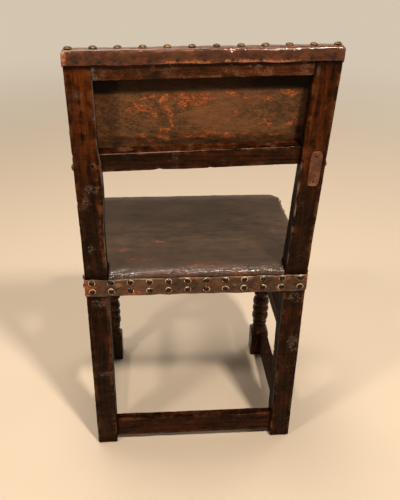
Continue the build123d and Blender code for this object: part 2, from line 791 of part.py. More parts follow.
sackcloth_bottom = long_web_top + lay
sackcloth_top = sackcloth_bottom + sackcloth_thickness
cloth_outline = side_outline(side_rail_rear_x, side_rail_front_x, sackcloth_lap, 0, 0)
cloth_rear = (cloth_outline[0][0], -rear_leg_depth - leg_clear)
cloth_front = (cloth_outline[1][0], front_face_y + sackcloth_lap)
cloth_half = [
    (rear_inner_x - leg_clear, rear_rail_rear_y - sackcloth_lap / 2),
    (rear_inner_x - leg_clear, cloth_rear[1]),
    cloth_rear,
    cloth_front,
]
cloth = plan_solid(cloth_half + [(-x, y) for x, y in reversed(cloth_half)], sackcloth_bottom, sackcloth_top)
tack_heads = [rod(point, upwards, tack_radius + lay, tack_height + lay) for point, _ in long_web_tacks]
keep("sackcloth", drilled(cloth, tack_heads))

# ---------------------------------------------------------------- seat stuffing and hide
seat_slope = (seat_rear_rise - seat_front_rise) / frame_depth


def seat_top(y, under=0.0):
    """Height of the top of the seat hide at depth y, or a distance under it."""
    return seat_rail_top + seat_rear_rise + y * seat_slope - under


def under_seat_top(under):
    """Everything below the sloping top of the seat, or a distance under it."""
    near, far = frame_depth, -2 * frame_depth
    wedge = [(near, 0), (near, seat_top(near, under)), (far, seat_top(far, under)), (far, 0)]
    return profile_solid(wedge, -rear_width, rear_width)


def seat_plan(sunk):
    """Plan of the seat round the rear legs, sunk in from the outside of the hide."""
    out = lay + leather - sunk
    rear_y = rear_rail_rear_y + leather - sunk
    half = [
        (rear_inner_x - leg_clear, rear_y),
        (rear_inner_x - leg_clear, -rear_leg_depth - leg_clear),
        (side_rail_face(-rear_leg_depth - leg_clear) + out, -rear_leg_depth - leg_clear),
        (side_rail_face(front_face_y - out) + out, front_face_y - out),
    ]
    return half + [(-x, y) for x, y in reversed(half)]


def seat_hollow_plan():
    """Plan of the inside of the seat hide; it runs out through the gaps at the rear legs."""
    past = leg_clear + leather
    half = [
        (rear_inner_x + past, rear_rail_rear_y),
        (rear_inner_x + past, -rear_leg_depth + past),
        (side_rail_face(-rear_leg_depth + past) + lay, -rear_leg_depth + past),
        (side_rail_face(front_face_y - lay) + lay, front_face_y - lay),
    ]
    return half + [(-x, y) for x, y in reversed(half)]


def rolled_seat(plan, bottom, under, corner, edge_round):
    """Seat shape: a plan stood up, cut to the slope, with corners and upper edges rounded."""
    seat = plan_solid(plan, bottom, stile_height) & under_seat_top(under)
    seat = fillet(seat.edges().filter_by(Axis.Z).sort_by(Axis.Y)[:2], corner)
    top_edges = seat.faces().sort_by(Axis.Z)[-1].edges()
    rolled = [edge for edge in top_edges if abs(edge.center().X) < 1]
    rolled += [
        edge
        for edge in top_edges
        if edge.center().Y < -rear_leg_depth - 2 * leg_clear and abs(edge.center().X) > 1
    ]
    return fillet(rolled, edge_round)


all_seat_nails = rear_band_nails + side_band_nails + front_band_nails
seat_nail_holes = [nail_hole(*nail) for nail in all_seat_nails]
hide = rolled_seat(seat_plan(0.0), seat_rail_bottom, 0.0, seat_corner_round, seat_edge_round)
hollow = rolled_seat(
    seat_hollow_plan(), 0, leather, seat_corner_round - leather, seat_edge_round - leather
)
keep("seat_leather", drilled(hide - hollow, seat_nail_holes))

stuffing_rim = leather + lay + 3 * seat_edge_round / 4
stuffing = plan_solid(seat_plan(stuffing_rim), sackcloth_top + lay, stile_height)
stuffing &= under_seat_top(leather + lay)
keep("seat_stuffing", stuffing)


# ---------------------------------------------------------------- nailed bands
band_heights = (rear_band_bottom, rear_band_top)
rear_band = block((-band_side_x, band_side_x), (band_rear_y, -rear_leg_depth), band_heights)
rear_band -= block((-rear_x - lay, rear_x + lay), (lay, -rear_leg_depth - 1), (0, stile_height))
rear_band_holes = [nail_hole(*nail) for nail in rear_band_nails + leg_side_nails]
keep("rear_seat_band", drilled(rear_band, rear_band_holes))


def band_plan(out, past):
    """Plan of the front and side band's outside, moved out from the seat rails."""
    rear_y = -rear_leg_depth - leg_clear + past
    half = [
        (side_rail_face(rear_y) + out, rear_y),
        (side_rail_face(front_face_y - out) + out, front_face_y - out),
    ]
    return half + [(-x, y) for x, y in reversed(half)]


band = plan_solid(band_plan(side_out, 0), side_band_bottom, side_band_top)
band = fillet(band.edges().filter_by(Axis.Z).sort_by(Axis.Y)[:2], seat_corner_round + lay + band_leather)
hollow = plan_solid(band_plan(side_out - band_leather, 1), side_band_bottom, side_band_top)
hollow = fillet(hollow.edges().filter_by(Axis.Z).sort_by(Axis.Y)[:2], seat_corner_round + lay)
keep("side_seat_band", drilled(band - hollow, seat_nail_holes))

# ---------------------------------------------------------------- back hide
hide_sheet = [
    (-rear_x, hide_bottom + rear_x * hide_slope),
    (rear_x, hide_bottom - rear_x * hide_slope),
    (rear_x, up_the_back(stile_reach)),
    (-rear_x, up_the_back(stile_reach)),
]
back_hide = back_solid(hide_sheet, lay, lay + leather) & wood_below_top


def round_the_back(out, top):
    """Bar over the top of the back: the stiles' faces moved out, cut off under the top."""
    low, high = crest_bottom, stile_reach + fold_height
    outline = [
        (front_slope_y(low, out), low),
        (front_slope_y(high, out), high),
        (rear_face_y(high, out), high),
        (rear_face_y(low, out), low),
    ]
    return profile_solid(outline, -rear_x - out, rear_x + out) & below_top(top)


fold = round_the_back(lay + leather, hide_top)
long_edges = fold.edges().filter_by(lambda edge: edge.length > rear_width).group_by(Axis.Z)[-1]
fold = fillet(long_edges, fold_round)
fold -= below_top(fold_bottom)
fold -= round_the_back(lay, stile_height + lay / cos(top_tilt))
back_hide_holes = [nail_hole(*nail) for nail in back_front_nails + top_nails]
back_hide_holes += [tack_hole(*place) for place in fold_tacks]
keep("back_leather", drilled(back_hide + fold, back_hide_holes))

# ---------------------------------------------------------------- nails and tacks, as pieces
keep("rear_band_nails", *[dome_nail(*nail) for nail in rear_band_nails + leg_side_nails])
keep("side_band_nails", *[dome_nail(*nail) for nail in side_band_nails])
keep("front_band_nails", *[dome_nail(*nail) for nail in front_band_nails])
keep("top_edge_nails", *[dome_nail(*nail) for nail in top_nails])
keep("back_front_nails", *[dome_nail(*nail) for nail in back_front_nails])
keep("stile_side_nails", *[dome_nail(*nail) for nail in stile_side_nails])
keep("fold_tacks", *[tack(*place) for place in fold_tacks])
keep("webbing_tacks", *[tack(*place) for place in cross_web_tacks + long_web_tacks])

# ---------------------------------------------------------------- mending plate
plate_plane = Plane(
    origin=(plate_x, rear_face_y(plate_bottom + plate_length / 2), plate_bottom + plate_length / 2),
    x_dir=(-1, 0, 0),
    z_dir=up_and_back,
)
plate = extrude(
    plate_plane * RectangleRounded(plate_width, plate_length, plate_width / 3),
    plate_thickness,
    dir=up_and_back,
)
keep("mending_plate", drilled(plate, [tack_hole(*place) for place in plate_nails]))
keep("mending_plate_nails", *[tack(*place, plate_nail_radius) for place in plate_nails])

# ---------------------------------------------------------------- set down and write
# The origin goes to the middle of the chair's plan, at floor level.
boxes = [solid.bounding_box() for solids in nodes.values() for solid in solids]
lows = [min(tuple(box.min)[axis] for box in boxes) for axis in range(3)]
highs = [max(tuple(box.max)[axis] for box in boxes) for axis in range(3)]
to_origin = Pos(-(lows[0] + highs[0]) / 2, -(lows[1] + highs[1]) / 2, -lows[2])

os.makedirs("parts", exist_ok=True)
for name, solids in nodes.items():
    moved = [to_origin * solid for solid in solids]
    piece = moved[0] if len(moved) == 1 else Compound(moved)
    export_step(piece, f"parts/{name}.step")
print("origin moved by", to_origin.position)
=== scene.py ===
import bpy
import numpy as np
from functools import partial
from mathutils import Matrix, Vector


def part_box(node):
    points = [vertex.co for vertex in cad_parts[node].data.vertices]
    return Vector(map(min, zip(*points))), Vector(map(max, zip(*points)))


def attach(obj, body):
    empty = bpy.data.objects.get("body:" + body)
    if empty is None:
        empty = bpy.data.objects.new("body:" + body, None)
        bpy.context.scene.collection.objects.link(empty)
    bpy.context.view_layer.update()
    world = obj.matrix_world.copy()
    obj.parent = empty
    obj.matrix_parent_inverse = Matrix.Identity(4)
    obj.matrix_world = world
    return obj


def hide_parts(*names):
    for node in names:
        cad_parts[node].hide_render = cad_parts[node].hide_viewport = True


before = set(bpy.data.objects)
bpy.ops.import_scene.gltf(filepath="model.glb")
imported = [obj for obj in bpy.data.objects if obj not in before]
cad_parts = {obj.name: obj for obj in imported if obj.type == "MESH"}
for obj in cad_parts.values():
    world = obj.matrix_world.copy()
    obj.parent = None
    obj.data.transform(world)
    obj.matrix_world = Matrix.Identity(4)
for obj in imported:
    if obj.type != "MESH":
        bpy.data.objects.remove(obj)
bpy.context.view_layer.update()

# ---- the view, the floor and the lamps
# The chair is looked down on from behind, a little off its middle. It stands on a plain pale
# floor, which fades into a plain backdrop further off, under soft lamps. The strongest of them
# is above and behind it.
leg_depth = 48.0
rear_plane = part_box("rear_leg_left")[0][1] * 1000 + leg_depth
eye = Vector((0.0972, 1.2144 + rear_plane / 1000, 1.3314))
yaw, pitch, roll = np.radians((-4.79, -32.81, 1.18))
ahead = Vector((np.sin(yaw) * np.cos(pitch), -np.cos(yaw) * np.cos(pitch), np.sin(pitch)))
level = ahead.cross(Vector((0, 0, 1))).normalized()
above = level.cross(ahead)
side_way = level * np.cos(roll) + above * np.sin(roll)
up_way = above * np.cos(roll) - level * np.sin(roll)

camera = bpy.data.objects.new("camera", bpy.data.cameras.new("camera"))
camera.data.lens = 51.84
camera.data.sensor_width = 36
turn = Matrix((side_way, up_way, -ahead)).transposed()
camera.matrix_world = Matrix.Translation(eye) @ turn.to_4x4()
bpy.context.collection.objects.link(camera)
bpy.context.scene.camera = camera
bpy.context.scene.view_settings.view_transform = "Standard"


def soft_lamp(name, place, target, size, watts, tint):
    """Square area lamp at a place, turned towards a target."""
    lamp = bpy.data.objects.new(name, bpy.data.lights.new(name, "AREA"))
    lamp.data.size = size
    lamp.data.energy = watts
    lamp.data.color = tint
    lamp.location = place
    lamp.rotation_euler = (Vector(target) - Vector(place)).to_track_quat("-Z", "Y").to_euler()
    bpy.context.collection.objects.link(lamp)


soft_lamp("lamp_above_behind", (-0.7, 1.6, 2.78), (0, 0.1, 0.5), 0.22, 68, (1, 0.90, 0.78))
soft_lamp("lamp_above_left", (1.5, 1.3, 2.45), (0, 0.1, 0.5), 0.30, 24, (1, 0.90, 0.78))
soft_lamp("lamp_overhead", (0.4, -0.4, 2.8), (0, 0, 0.4), 1.2, 40, (1, 0.92, 0.82))
soft_lamp("lamp_front", (-2.3, -1.6, 1.9), (0, 0, 0.5), 1.6, 22, (1, 0.95, 0.88))


def is_socket(value):
    """Whether a value comes from a node, and isn't a plain number or colour."""
    return isinstance(value, bpy.types.NodeSocket)


def feed(slot, value):
    """Links a value from a node to a socket, or sets the socket to a plain value."""
    if is_socket(value):
        slot.id_data.links.new(value, slot)
    else:
        slot.default_value = value


def add(tree, kind, **given):
    """New shader node, for its first output. A capital word is a socket, a small one a setting."""
    made = tree.nodes.new("ShaderNode" + kind)
    for word, value in given.items():
        if word[0].islower():
            setattr(made, word, value)
        else:
            feed(made.inputs[word.replace("_", " ")], value)
    return made.outputs[0]


def reckon(operation, a, b=0.0):
    """Arithmetic of two values, in the tree that the first one from a node belongs to."""
    tree = (a if is_socket(a) else b).id_data
    made = tree.nodes.new("ShaderNodeMath")
    made.operation = operation
    for slot, value in zip(made.inputs, (a, b)):
        feed(slot, value)
    return made.outputs[0]


plus, minus, times, larger = (partial(reckon, kind) for kind in ("ADD", "SUBTRACT", "MULTIPLY", "MAXIMUM"))
unsigned = partial(reckon, "ABSOLUTE")


def emptied(data):
    """The emptied node tree of a material or a world."""
    data.use_nodes = True
    data.node_tree.nodes.clear()
    return data.node_tree


def new_finish(name):
    """New material and its emptied node tree."""
    made = bpy.data.materials.new(name)
    return made, emptied(made)


def blend_shaders(share, first, second, output):
    """Ends a tree in a mix of two shaders by a share from 0 to 1."""
    tree = share.id_data
    blend = tree.nodes.new("ShaderNodeMixShader")
    for socket, source in zip(blend.inputs, (share, first, second)):
        tree.links.new(source, socket)
    tree.links.new(blend.outputs[0], tree.nodes.new(f"ShaderNodeOutput{output}").inputs["Surface"])


def seen_directly(tree):
    """1 for what is seen straight, in gloss or through glass, and 0 for light on the object."""
    path = tree.nodes.new("ShaderNodeLightPath").outputs
    return larger(larger(path["Is Camera Ray"], path["Is Glossy Ray"]), path["Is Transmission Ray"])


backdrop = (0.66, 0.56, 0.44, 1)
world = bpy.data.worlds.new("plain_room")
bpy.context.scene.world = world
tree = emptied(world)
room = add(tree, "Background", Color=(1.0, 0.90, 0.78, 1), Strength=0.11)
seen_room = add(tree, "Background", Color=backdrop, Strength=1.0)
blend_shaders(seen_directly(tree), room, seen_room, "World")

floor_finish, tree = new_finish("plain_floor")
matt = add(tree, "BsdfPrincipled", Base_Color=(0.72, 0.59, 0.45, 1), Roughness=0.95)
seen_floor = add(tree, "Emission", Color=backdrop, Strength=1.0)
place = tree.nodes.new("ShaderNodeTexCoord").outputs["Object"]
distance = add(tree, "VectorMath", operation="LENGTH", Vector=place).node.outputs["Value"]
far = add(tree, "MapRange", interpolation_type="SMOOTHSTEP", Value=distance, From_Min=1.2, From_Max=3.0)
blend_shaders(times(far, seen_directly(tree)), matt, seen_floor, "Material")
floor_half = 9
floor_corners = [(x * floor_half, y * floor_half, 0) for x, y in ((-1, -1), (1, -1), (1, 1), (-1, 1))]
floor = bpy.data.objects.new("floor", bpy.data.meshes.new("floor"))
floor.data.from_pydata(floor_corners, [], [(0, 1, 2, 3)])
floor.data.materials.append(floor_finish)
bpy.context.collection.objects.link(floor)

# ---- rear legs and stiles
# Each is one oak board, sawn upright to the seat and leaning back above it. The long edges are
# worn round and nicked, and wax and dirt have turned the wood nearly black between the rubbed
# edges. Lengths here and below are millimetres, with Y from the rear face of the rear feet.
rear_x, rear_inner = 230.0, 184.0
elbow, wood_top, rake, top_depth = 480.0, 975.0, 70.4, 20.0
top_slope = 5.5 / 460
rear_tan = rake / (wood_top - elbow)
front_tan = (rake - top_depth + leg_depth) / (wood_top - elbow)
corner_steps, side_points = 4, 7
section_points = 4 * (corner_steps + 1 + side_points)
both = ((1, "left"), (-1, "right"))


def rear_y(z):
    """Y of the rear face of the stiles at height z: upright, then leaning back past the elbow."""
    return np.maximum(z - elbow, 0) * rear_tan


def front_y(z):
    """Y of the front face of the stiles at height z, leaning more than the rear face does."""
    return -leg_depth + np.maximum(z - elbow, 0) * front_tan


def ripple(points, size, seed):
    """Smooth unevenness: the sum of 20 sine waves near one wavelength, in chance directions."""
    dice = np.random.default_rng(seed)
    ways = dice.normal(size=(20, 3))
    ways *= (2 * np.pi / (size * dice.uniform(0.7, 1.7, 20)) / np.linalg.norm(ways, axis=1))[:, None]
    return np.sin(points @ ways.T + dice.uniform(0, 2 * np.pi, 20)).sum(-1) / 20**0.5


def ease(value, low, high):
    """0 below low, 1 above high, and 3t^2 - 2t^3 between them."""
    share = np.clip((value - low) / (high - low), 0, 1)
    return share * share * (3 - 2 * share)


def bell(value, middle, reach):
    """1 at the middle, falling off on both sides as exp(-t^2), with t counted in reaches."""
    return np.exp(-(((value - middle) / reach) ** 2))


def spot(x, z, x_mark, z_mark, wide, tall):
    """Soft oval mark: the product of a bell across and a bell upwards or along."""
    return bell(x, x_mark, wide) * bell(z, z_mark, tall)


def points_of(x, y, z):
    """Points from their coordinates, each a number or an array that spreads over the others."""
    return np.stack(np.broadcast_arrays(x, y, z), -1)


def put(name, points, faces, marks, finish, node):
    """Mesh object from points in millimetres that stands for a CAD node, with a float per
    point for each mark. Faces are turned outwards, and points that no face uses are left out."""
    used, where = np.unique(faces, return_inverse=True)
    faces = where.reshape(faces.shape)
    spread = {mark: np.broadcast_to(each, points.shape[:-1]) for mark, each in marks.items()}
    points = points.reshape(-1, 3)[used]
    corner = points[faces]
    area = np.cross(corner[:, 2] - corner[:, 0], corner[:, 3] - corner[:, 1])
    if ((corner.mean(1) - points.mean(0)) * area).sum() < 0:
        faces = faces[:, ::-1]
    mesh = bpy.data.meshes.new(name)
    lists = [list(dict.fromkeys(face)) for face in faces.tolist()]
    mesh.from_pydata(((points + (0, rear_plane, 0)) / 1000).tolist(), [], lists)
    for mark, each in spread.items():
        layer = mesh.attributes.new(mark, "FLOAT", "POINT")
        layer.data.foreach_set("value", each.reshape(-1)[used].astype(np.float32))
    mesh.shade_smooth()
    mesh.materials.append(finish)
    piece = bpy.data.objects.new(name, mesh)
    bpy.context.collection.objects.link(piece)
    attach(piece, "root")
    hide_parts(node)
    return piece


def ring_quads(index):
    """Quads between the rows of a grid of point numbers whose columns close round."""
    after = np.roll(index, -1, axis=1)
    return np.stack([index[:-1], after[:-1], after[1:], index[1:]], -1)


def put_oak(node, grid, marks, finish):
    """Closed oak piece from rows of rings: each ring closes round, and each end is filled by
    faces to a point at its middle."""
    index = np.arange(grid[..., 0].size).reshape(grid.shape[:2])
    after = np.roll(index, -1, axis=1)
    low, high = (np.full(index.shape[1], index.size + k) for k in (0, 1))
    ends = [np.stack([after[0], index[0], low, low], -1), np.stack([index[-1], after[-1], high, high], -1)]
    points = np.concatenate([grid.reshape(-1, 3), grid[[0, -1]].mean(1)])
    flat = {mark: np.append(np.broadcast_to(each, index.shape), (0, 0)) for mark, each in marks.items()}
    faces = np.concatenate([ring_quads(index).reshape(-1, 4), *ends])
    put(node + "_oak", points, faces, flat, finish, node)


def stave(centre, across, deep, half_across, half_deep, rounds, seed):
    """Bar of rounded oblong section on a line of centres. Four corner arcs of the given radii
    are joined by flats; the skin is then moved by ripples along its normal, and nicked on the
    corners. Gives the grid of points and how near each is to a corner, 1 on it."""
    sign = np.array([(1, 1), (-1, 1), (-1, -1), (1, -1)])
    half = np.stack(np.broadcast_arrays(half_across, half_deep, rounds[:, 0])[:2], -1)
    arcs, ways = [], []
    for k in range(4):
        angle = np.radians(90 * k + np.linspace(0, 90, corner_steps + 1))
        way = np.stack([np.cos(angle), np.sin(angle)], -1)
        middle = sign[k] * (half - rounds[:, k, None])
        arcs.append(middle[:, None] + rounds[:, k, None, None] * way)
        ways.append(way)
    share = np.linspace(0, 1, side_points + 2)[1:-1, None]
    spots, normals, edges = [], [], []
    for k in range(4):
        start, end = arcs[k][:, -1:], arcs[(k + 1) % 4][:, :1]
        length = np.linalg.norm(end - start, axis=-1)
        reach = np.minimum(share[:, 0], 1 - share[:, 0]) * length
        spots += [arcs[k], start + (end - start) * share]
        normals += [ways[k], np.repeat(ways[k][-1:], side_points, 0)]
        edges += [np.ones((len(half), corner_steps + 1)), np.exp(-reach / 3.0)]
    spots, normals = np.concatenate(spots, 1), np.concatenate(normals, 0)
    edge = np.concatenate(edges, 1)
    grid = centre[:, None] + spots[..., :1] * across + spots[..., 1:] * deep
    out = normals[:, :1] * across + normals[:, 1:] * deep
    worn = 0.22 * ripple(grid, 75, seed) + 0.13 * ripple(grid, 17, seed + 1) - 0.17
    nicks = 1.5 * edge * ease(ripple(grid, 15, seed + 2) + 0.6 * ripple(grid, 60, seed + 3), 1.1, 2.0)
    return grid + (worn - nicks)[..., None] * out, edge


def mix(share, a, b):
    """Colour between a and b by a share from 0 to 1."""
    tree = share.id_data
    made = tree.nodes.new("ShaderNodeMix")
    made.data_type = "RGBA"
    feed(made.inputs[0], share)
    for slot, value in ((6, a), (7, b)):
        feed(made.inputs[slot], value if is_socket(value) else (*value, 1))
    return made.outputs[2]


def step(value, low, high, top=1.0):
    """Smooth rise from 0 below low to top above high."""
    limits = {"From_Min": low, "From_Max": high, "To_Max": top}
    return add(value.id_data, "MapRange", interpolation_type="SMOOTHSTEP", Value=value, **limits)


def noise(where, scale, detail, rough, warp=0.0):
    """Cloudy pattern of a scale per metre."""
    look = {"Scale": scale, "Detail": detail, "Roughness": rough, "Distortion": warp}
    return add(where.id_data, "TexNoise", Vector=where, **look)


def mark(tree, name):
    """What a mesh says for a mark at each point."""
    return add(tree, "Attribute", attribute_name=name)


def own_place(tree, stretch=(1, 1, 1), shift=(0, 0, 0)):
    """Object coordinates, squeezed along the grain of a piece by a scale under 1."""
    place = tree.nodes.new("ShaderNodeTexCoord").outputs["Object"]
    return add(tree, "Mapping", Vector=place, Scale=stretch, Location=shift)


def finish_off(colour, roughness, height, depth, **own):
    """Principled surface from its colour, roughness and bump, joined to the output."""
    tree = colour.id_data
    relief = add(tree, "Bump", Height=height, Distance=depth, Strength=1.0)
    own |= {"Normal": relief, "Coat_Normal": relief}
    shine = add(tree, "BsdfPrincipled", Base_Color=colour, Roughness=roughness, **own)
    tree.links.new(shine, tree.nodes.new("ShaderNodeOutputMaterial").inputs["Surface"])


oak_black, oak_brown, oak_warm = (0.0030, 0.0010, 0.0006), (0.020, 0.0052, 0.0016), (0.115, 0.0240, 0.0038)
oak_rubbed, oak_pale = (0.15, 0.052, 0.017), (0.27, 0.20, 0.15)


def old_oak(name, stretch, shift, shine=0.09):
    """Waxed oak with its grain along the axis of the smallest stretch: fine figure and pores,
    redder where the mark warm is high, edges rubbed by rub, black and dull by dirt_and_shade
    (dirt and painted shade), crossed by fine pale scratches by scratch, and paler by
    pale_and_highlight (bare, dusty wood and painted arris highlights). Its face has shallow dents."""
    made, tree = new_finish(name)
    along = own_place(tree, stretch, shift)
    fine = own_place(tree, [s if s == 1 else s * 0.4 for s in stretch], shift)
    round_about = own_place(tree, shift=shift)
    figure = noise(along, 125, 7, 0.68, 0.3)
    pores = noise(fine, 620, 3, 0.6)
    patches = noise(round_about, 12, 5, 0.65)
    blotches = noise(round_about, 44, 6, 0.68)
    colour = mix(step(figure, 0.36, 0.66), oak_black, oak_brown)
    red = plus(step(patches, 0.44, 0.62, 0.22), times(mark(tree, "warm"), 0.85))
    spread = plus(times(figure, 0.5), times(blotches, 0.5))
    colour = mix(times(red, step(spread, 0.38, 0.60)), colour, oak_warm)
    colour = mix(step(pores, 0.54, 0.66, 0.6), colour, oak_black)
    patchy = step(plus(blotches, times(figure, 0.5)), 0.74, 0.90)
    colour = mix(times(times(mark(tree, "rub"), patchy), 0.7), colour, oak_rubbed)
    # Dirt, and painted shade where a piece's marks put it, turn the wood black and dull.
    dirt_and_shade = larger(mark(tree, "dirt_and_shade"), step(blotches, 0.54, 0.70, 0.6))
    colour = mix(dirt_and_shade, colour, oak_black)
    tangle = noise(round_about, 110, 3, 0.5, 2.5)
    thin = minus(1.0, step(unsigned(minus(tangle, 0.5)), 0.006, 0.030))
    where = step(plus(blotches, times(mark(tree, "scratch"), 0.32)), 0.66, 0.80)
    thin = times(times(thin, where), 0.8)
    # Dust and bare wood, and a painted highlight along some arrises, turn the wood pale.
    dust_and_highlight = times(mark(tree, "pale_and_highlight"), step(figure, 0.34, 0.60))
    colour = mix(larger(thin, dust_and_highlight), colour, oak_pale)
    rough = add(tree, "MapRange", Value=blotches, From_Min=0.35, From_Max=0.65, To_Min=0.16, To_Max=0.36)
    rough = plus(rough, times(dirt_and_shade, 0.6))
    dents, lumps = noise(round_about, 60, 2, 0.5), noise(along, 130, 2, 0.5)
    height = plus(plus(times(dents, 3.6), times(lumps, 1.7)), times(pores, 0.25))
    finish_off(colour, rough, height, 0.0010, Specular_IOR_Level=shine, Specular_Tint=(1, 0.70, 0.45, 1))
    return made


upright = (1, 0.3, 0.07)
leg_oak = old_oak("oak_upright", upright, (0.31, 0.12, 0.05))
rear_leg_z = np.concatenate([(0, 0.8, 2.0, 3.6, 6.0), np.arange(10.0, 966, 4), (968.0, 971.0, wood_top - 1)])
x_way, y_way = np.eye(3)[:2]
chips = ((194, 758), (188, 708), (190, 849), (196, 612), (212, 330))
scraped = (
    (197, 701, 11, 16), (214, 678, 6, 18), (193, 757, 5, 6), (212, 566, 7, 14), (207, 421, 17, 12),
    (-207, 418, 16, 18), (207, 222, 16, 7), (-213, 300, 10, 30),
)

for side, name in both:
    on_left, z = side > 0, rear_leg_z
    foot = 3.5 * np.clip(1 - z / 4.0, 0, 1)
    centre = points_of(side * (rear_inner + rear_x) / 2, (rear_y(z) + front_y(z)) / 2, z)
    rounds = 2.2 + 0.5 * ripple(centre, 130, 5 + side)[:, None] * np.ones(4)
    inner_rear = 1 if on_left else 0
    rounds[:, inner_rear] += (3.6 if on_left else 0.8) * ease(z, 495, 560) * (1 - ease(z, 925, 950))
    half_x, half_y = (rear_x - rear_inner) / 2 - foot, (rear_y(z) - front_y(z)) / 2 - foot
    grid, edge = stave(centre, x_way, y_way, half_x, half_y, np.clip(rounds, 1.2, 7), 40 + side)
    x, y, height = np.moveaxis(grid, -1, 0)
    if on_left:
        fuller = 4.5 * ease(height, 575, 690) * (1 - ease(height, 740, 800))
        x -= fuller * (1 - ease(x, rear_inner - 1, rear_inner + 12))
    height -= (x * top_slope + 0.5) * ease(height, 900, wood_top - 1)
    # Darker towards the floor, and dirt with painted shade just under and just above the seat band.
    dirt_and_shade = 0.75 * (1 - ease(height, 0, 35)) + 0.7 * bell(height, 436, 7) + 0.8 * bell(height, 486, 9)
    # Painted shadow of the turned-over back hide, in a line just under its lower edge.
    dirt_and_shade += 0.95 * bell(height + x * top_slope, 947.5, 4.5)
    # Painted shade on the inner side faces of the stiles and legs.
    inner_face_shade = (np.abs(x) < rear_inner + 1) & (y < rear_y(height) - 3)
    dirt_and_shade += (0.6 if on_left else 0.75) * inner_face_shade
    if on_left:
        split = bell(height - 0.12 * (x - 207) - 1.5 * ripple(grid, 30, 3), 221, 1.3) * (y > -20)
        y -= 0.9 * split * (np.abs(y) < 4)
        dirt_and_shade += split
        for x_chip, z_chip in chips:
            y -= 1.2 * spot(x, height, x_chip, z_chip, 3.5, 6.0) * (y > rear_y(height) - 5)
    warm = 0.02 + ease(height, 660, 800) * (0.9 if on_left else 0.7)
    scratch = np.full(x.shape, 0.2)
    for where in scraped:
        scratch += spot(x, height, *where) * (y > rear_y(height) - 4)
    # A pale line along one inner arris of each stile: worn wood with a painted highlight.
    worn_lit_arris = np.zeros(section_points)
    worn_lit_arris[[15, 16] if on_left else [0, 1, 2, 3]] = 0.6 if on_left else 1.0
    line_foot, line_top = (495, 920) if on_left else (500, 740)
    pale_and_highlight = worn_lit_arris * ease(height, line_foot, line_foot + 20) * (1 - ease(height, line_top, line_top + 20))
    pale_and_highlight = pale_and_highlight * ease(ripple(grid, 45, 47 + side), -1.3, 0.4)
    rub = 1.3 * edge
    for marked, amount, *where in (
        (warm, 2.2, 203, 930, 8, 12), (rub, 1.2, 208, 868, 7, 12), (rub, 1.0, 205, 815, 6, 16),
        (rub, 0.8, -196, 820, 4, 20), (pale_and_highlight, 0.3, 212, 895, 8, 6), (pale_and_highlight, 0.8, 187, 851, 3, 2.5),
        (pale_and_highlight, 0.7, 193, 757, 4, 3), (pale_and_highlight, 0.3, -190, 935, 4, 8),
    ):
        marked += amount * spot(x, height, *where)
    warm = warm * (1 - 0.65 * ease(side * x, 214, 226))
    marks = {"rub": rub, "dirt_and_shade": np.clip(dirt_and_shade, 0, 1), "warm": warm, "scratch": np.clip(scratch, 0, 1)}
    put_oak(f"rear_leg_{name}", grid, marks | {"pale_and_highlight": pale_and_highlight}, leg_oak)

# ---- front legs
# Square oak posts turned on a lathe between their square blocks: a small ring, a ball and two
# rings over the foot, and the same run upside down below the seat.
turned_oak = old_oak("oak_turned", upright, (0.15, 0.42, 0.25), 0.2)
front_x, leg_size, front_face = 222.0, 46.0, -344.0
foot_top, block_low, block_high, block_top, seat_wood = 78.0, 205.0, 300.0, 418.0, 472.0
neck_radius, bead_radius = 16.0, 21.4
bead_run = ((13.0, 18.6), (28.0, bead_radius), (21.0, bead_radius), (25.0, bead_radius))
low_run = block_low - foot_top


def bead_radius_at(place, start, beads, scale=1.0):
    """Radius along a run of beads: neck plus a power of a half sine for each bead, so that
    the beads are round and meet in tight grooves; 0 outside the run."""
    radius = np.zeros_like(place)
    for length, crown in beads:
        share = (place - start) / (length * scale)
        inside = (share >= 0) & (share <= 1)
        swell = np.sin(np.pi * np.clip(share, 0, 1)) ** 0.62
        radius = np.where(inside, neck_radius + (crown - neck_radius) * swell, radius)
        start += length * scale
    return radius


def turned_radius(z):
    """Radius that the lathe leaves at height z of a front leg; large where it stays square."""
    radius = np.full_like(z, 60.0)
    runs = ((foot_top, block_low, bead_run), (block_high, block_top, bead_run[::-1]))
    for low, high, beads in runs:
        scale = (high - low) / low_run
        sweep = (low_run - sum(length for length, _ in bead_run)) / 2 * scale
        inside = (z >= low - 8) & (z <= high + 8)
        from_end = np.minimum(z - low, high - z)
        hollow = neck_radius + 5.5 * (1 - ease(from_end, 0, sweep)) + 11 * (1 - ease(from_end, -8, 1.5))
        run = bead_radius_at(z, low + sweep, beads, scale)
        radius = np.where(inside, np.where(run > 0, run, hollow), radius)
    return radius


leg_rows = [np.arange(0, 66, 4.0), np.arange(66, 217, 1.1), np.arange(217, 288, 4.0)]
leg_rows += [np.arange(288, 430, 1.1), np.arange(430, seat_wood, 4.0), [seat_wood]]
leg_z = np.concatenate(leg_rows)
leg_z[:3] = (0, 1.0, 3.2)
quarter = np.array((0, 9, 18, 26, 32, 36.5, 39.5, 41.6, 43.4, 45, 46.6, 48.4, 50.5, 53.5, 58, 64, 72, 81))
round_angle = np.radians(np.concatenate([quarter + 90 * k for k in range(4)]))
way = np.stack([np.cos(round_angle), np.sin(round_angle)], -1)
corner = bell(round_angle % (np.pi / 2), np.pi / 4, 0.05)
square = leg_size / 2 / np.abs(way).max(-1) - 1.3 * corner
lathe = turned_radius(leg_z)[:, None]
worn_foot = (2.2 * np.clip(1 - leg_z / 3.2, 0, 1) ** 2)[:, None]
radius = np.minimum(square - worn_foot, lathe)
is_turned = lathe < square + 0.4

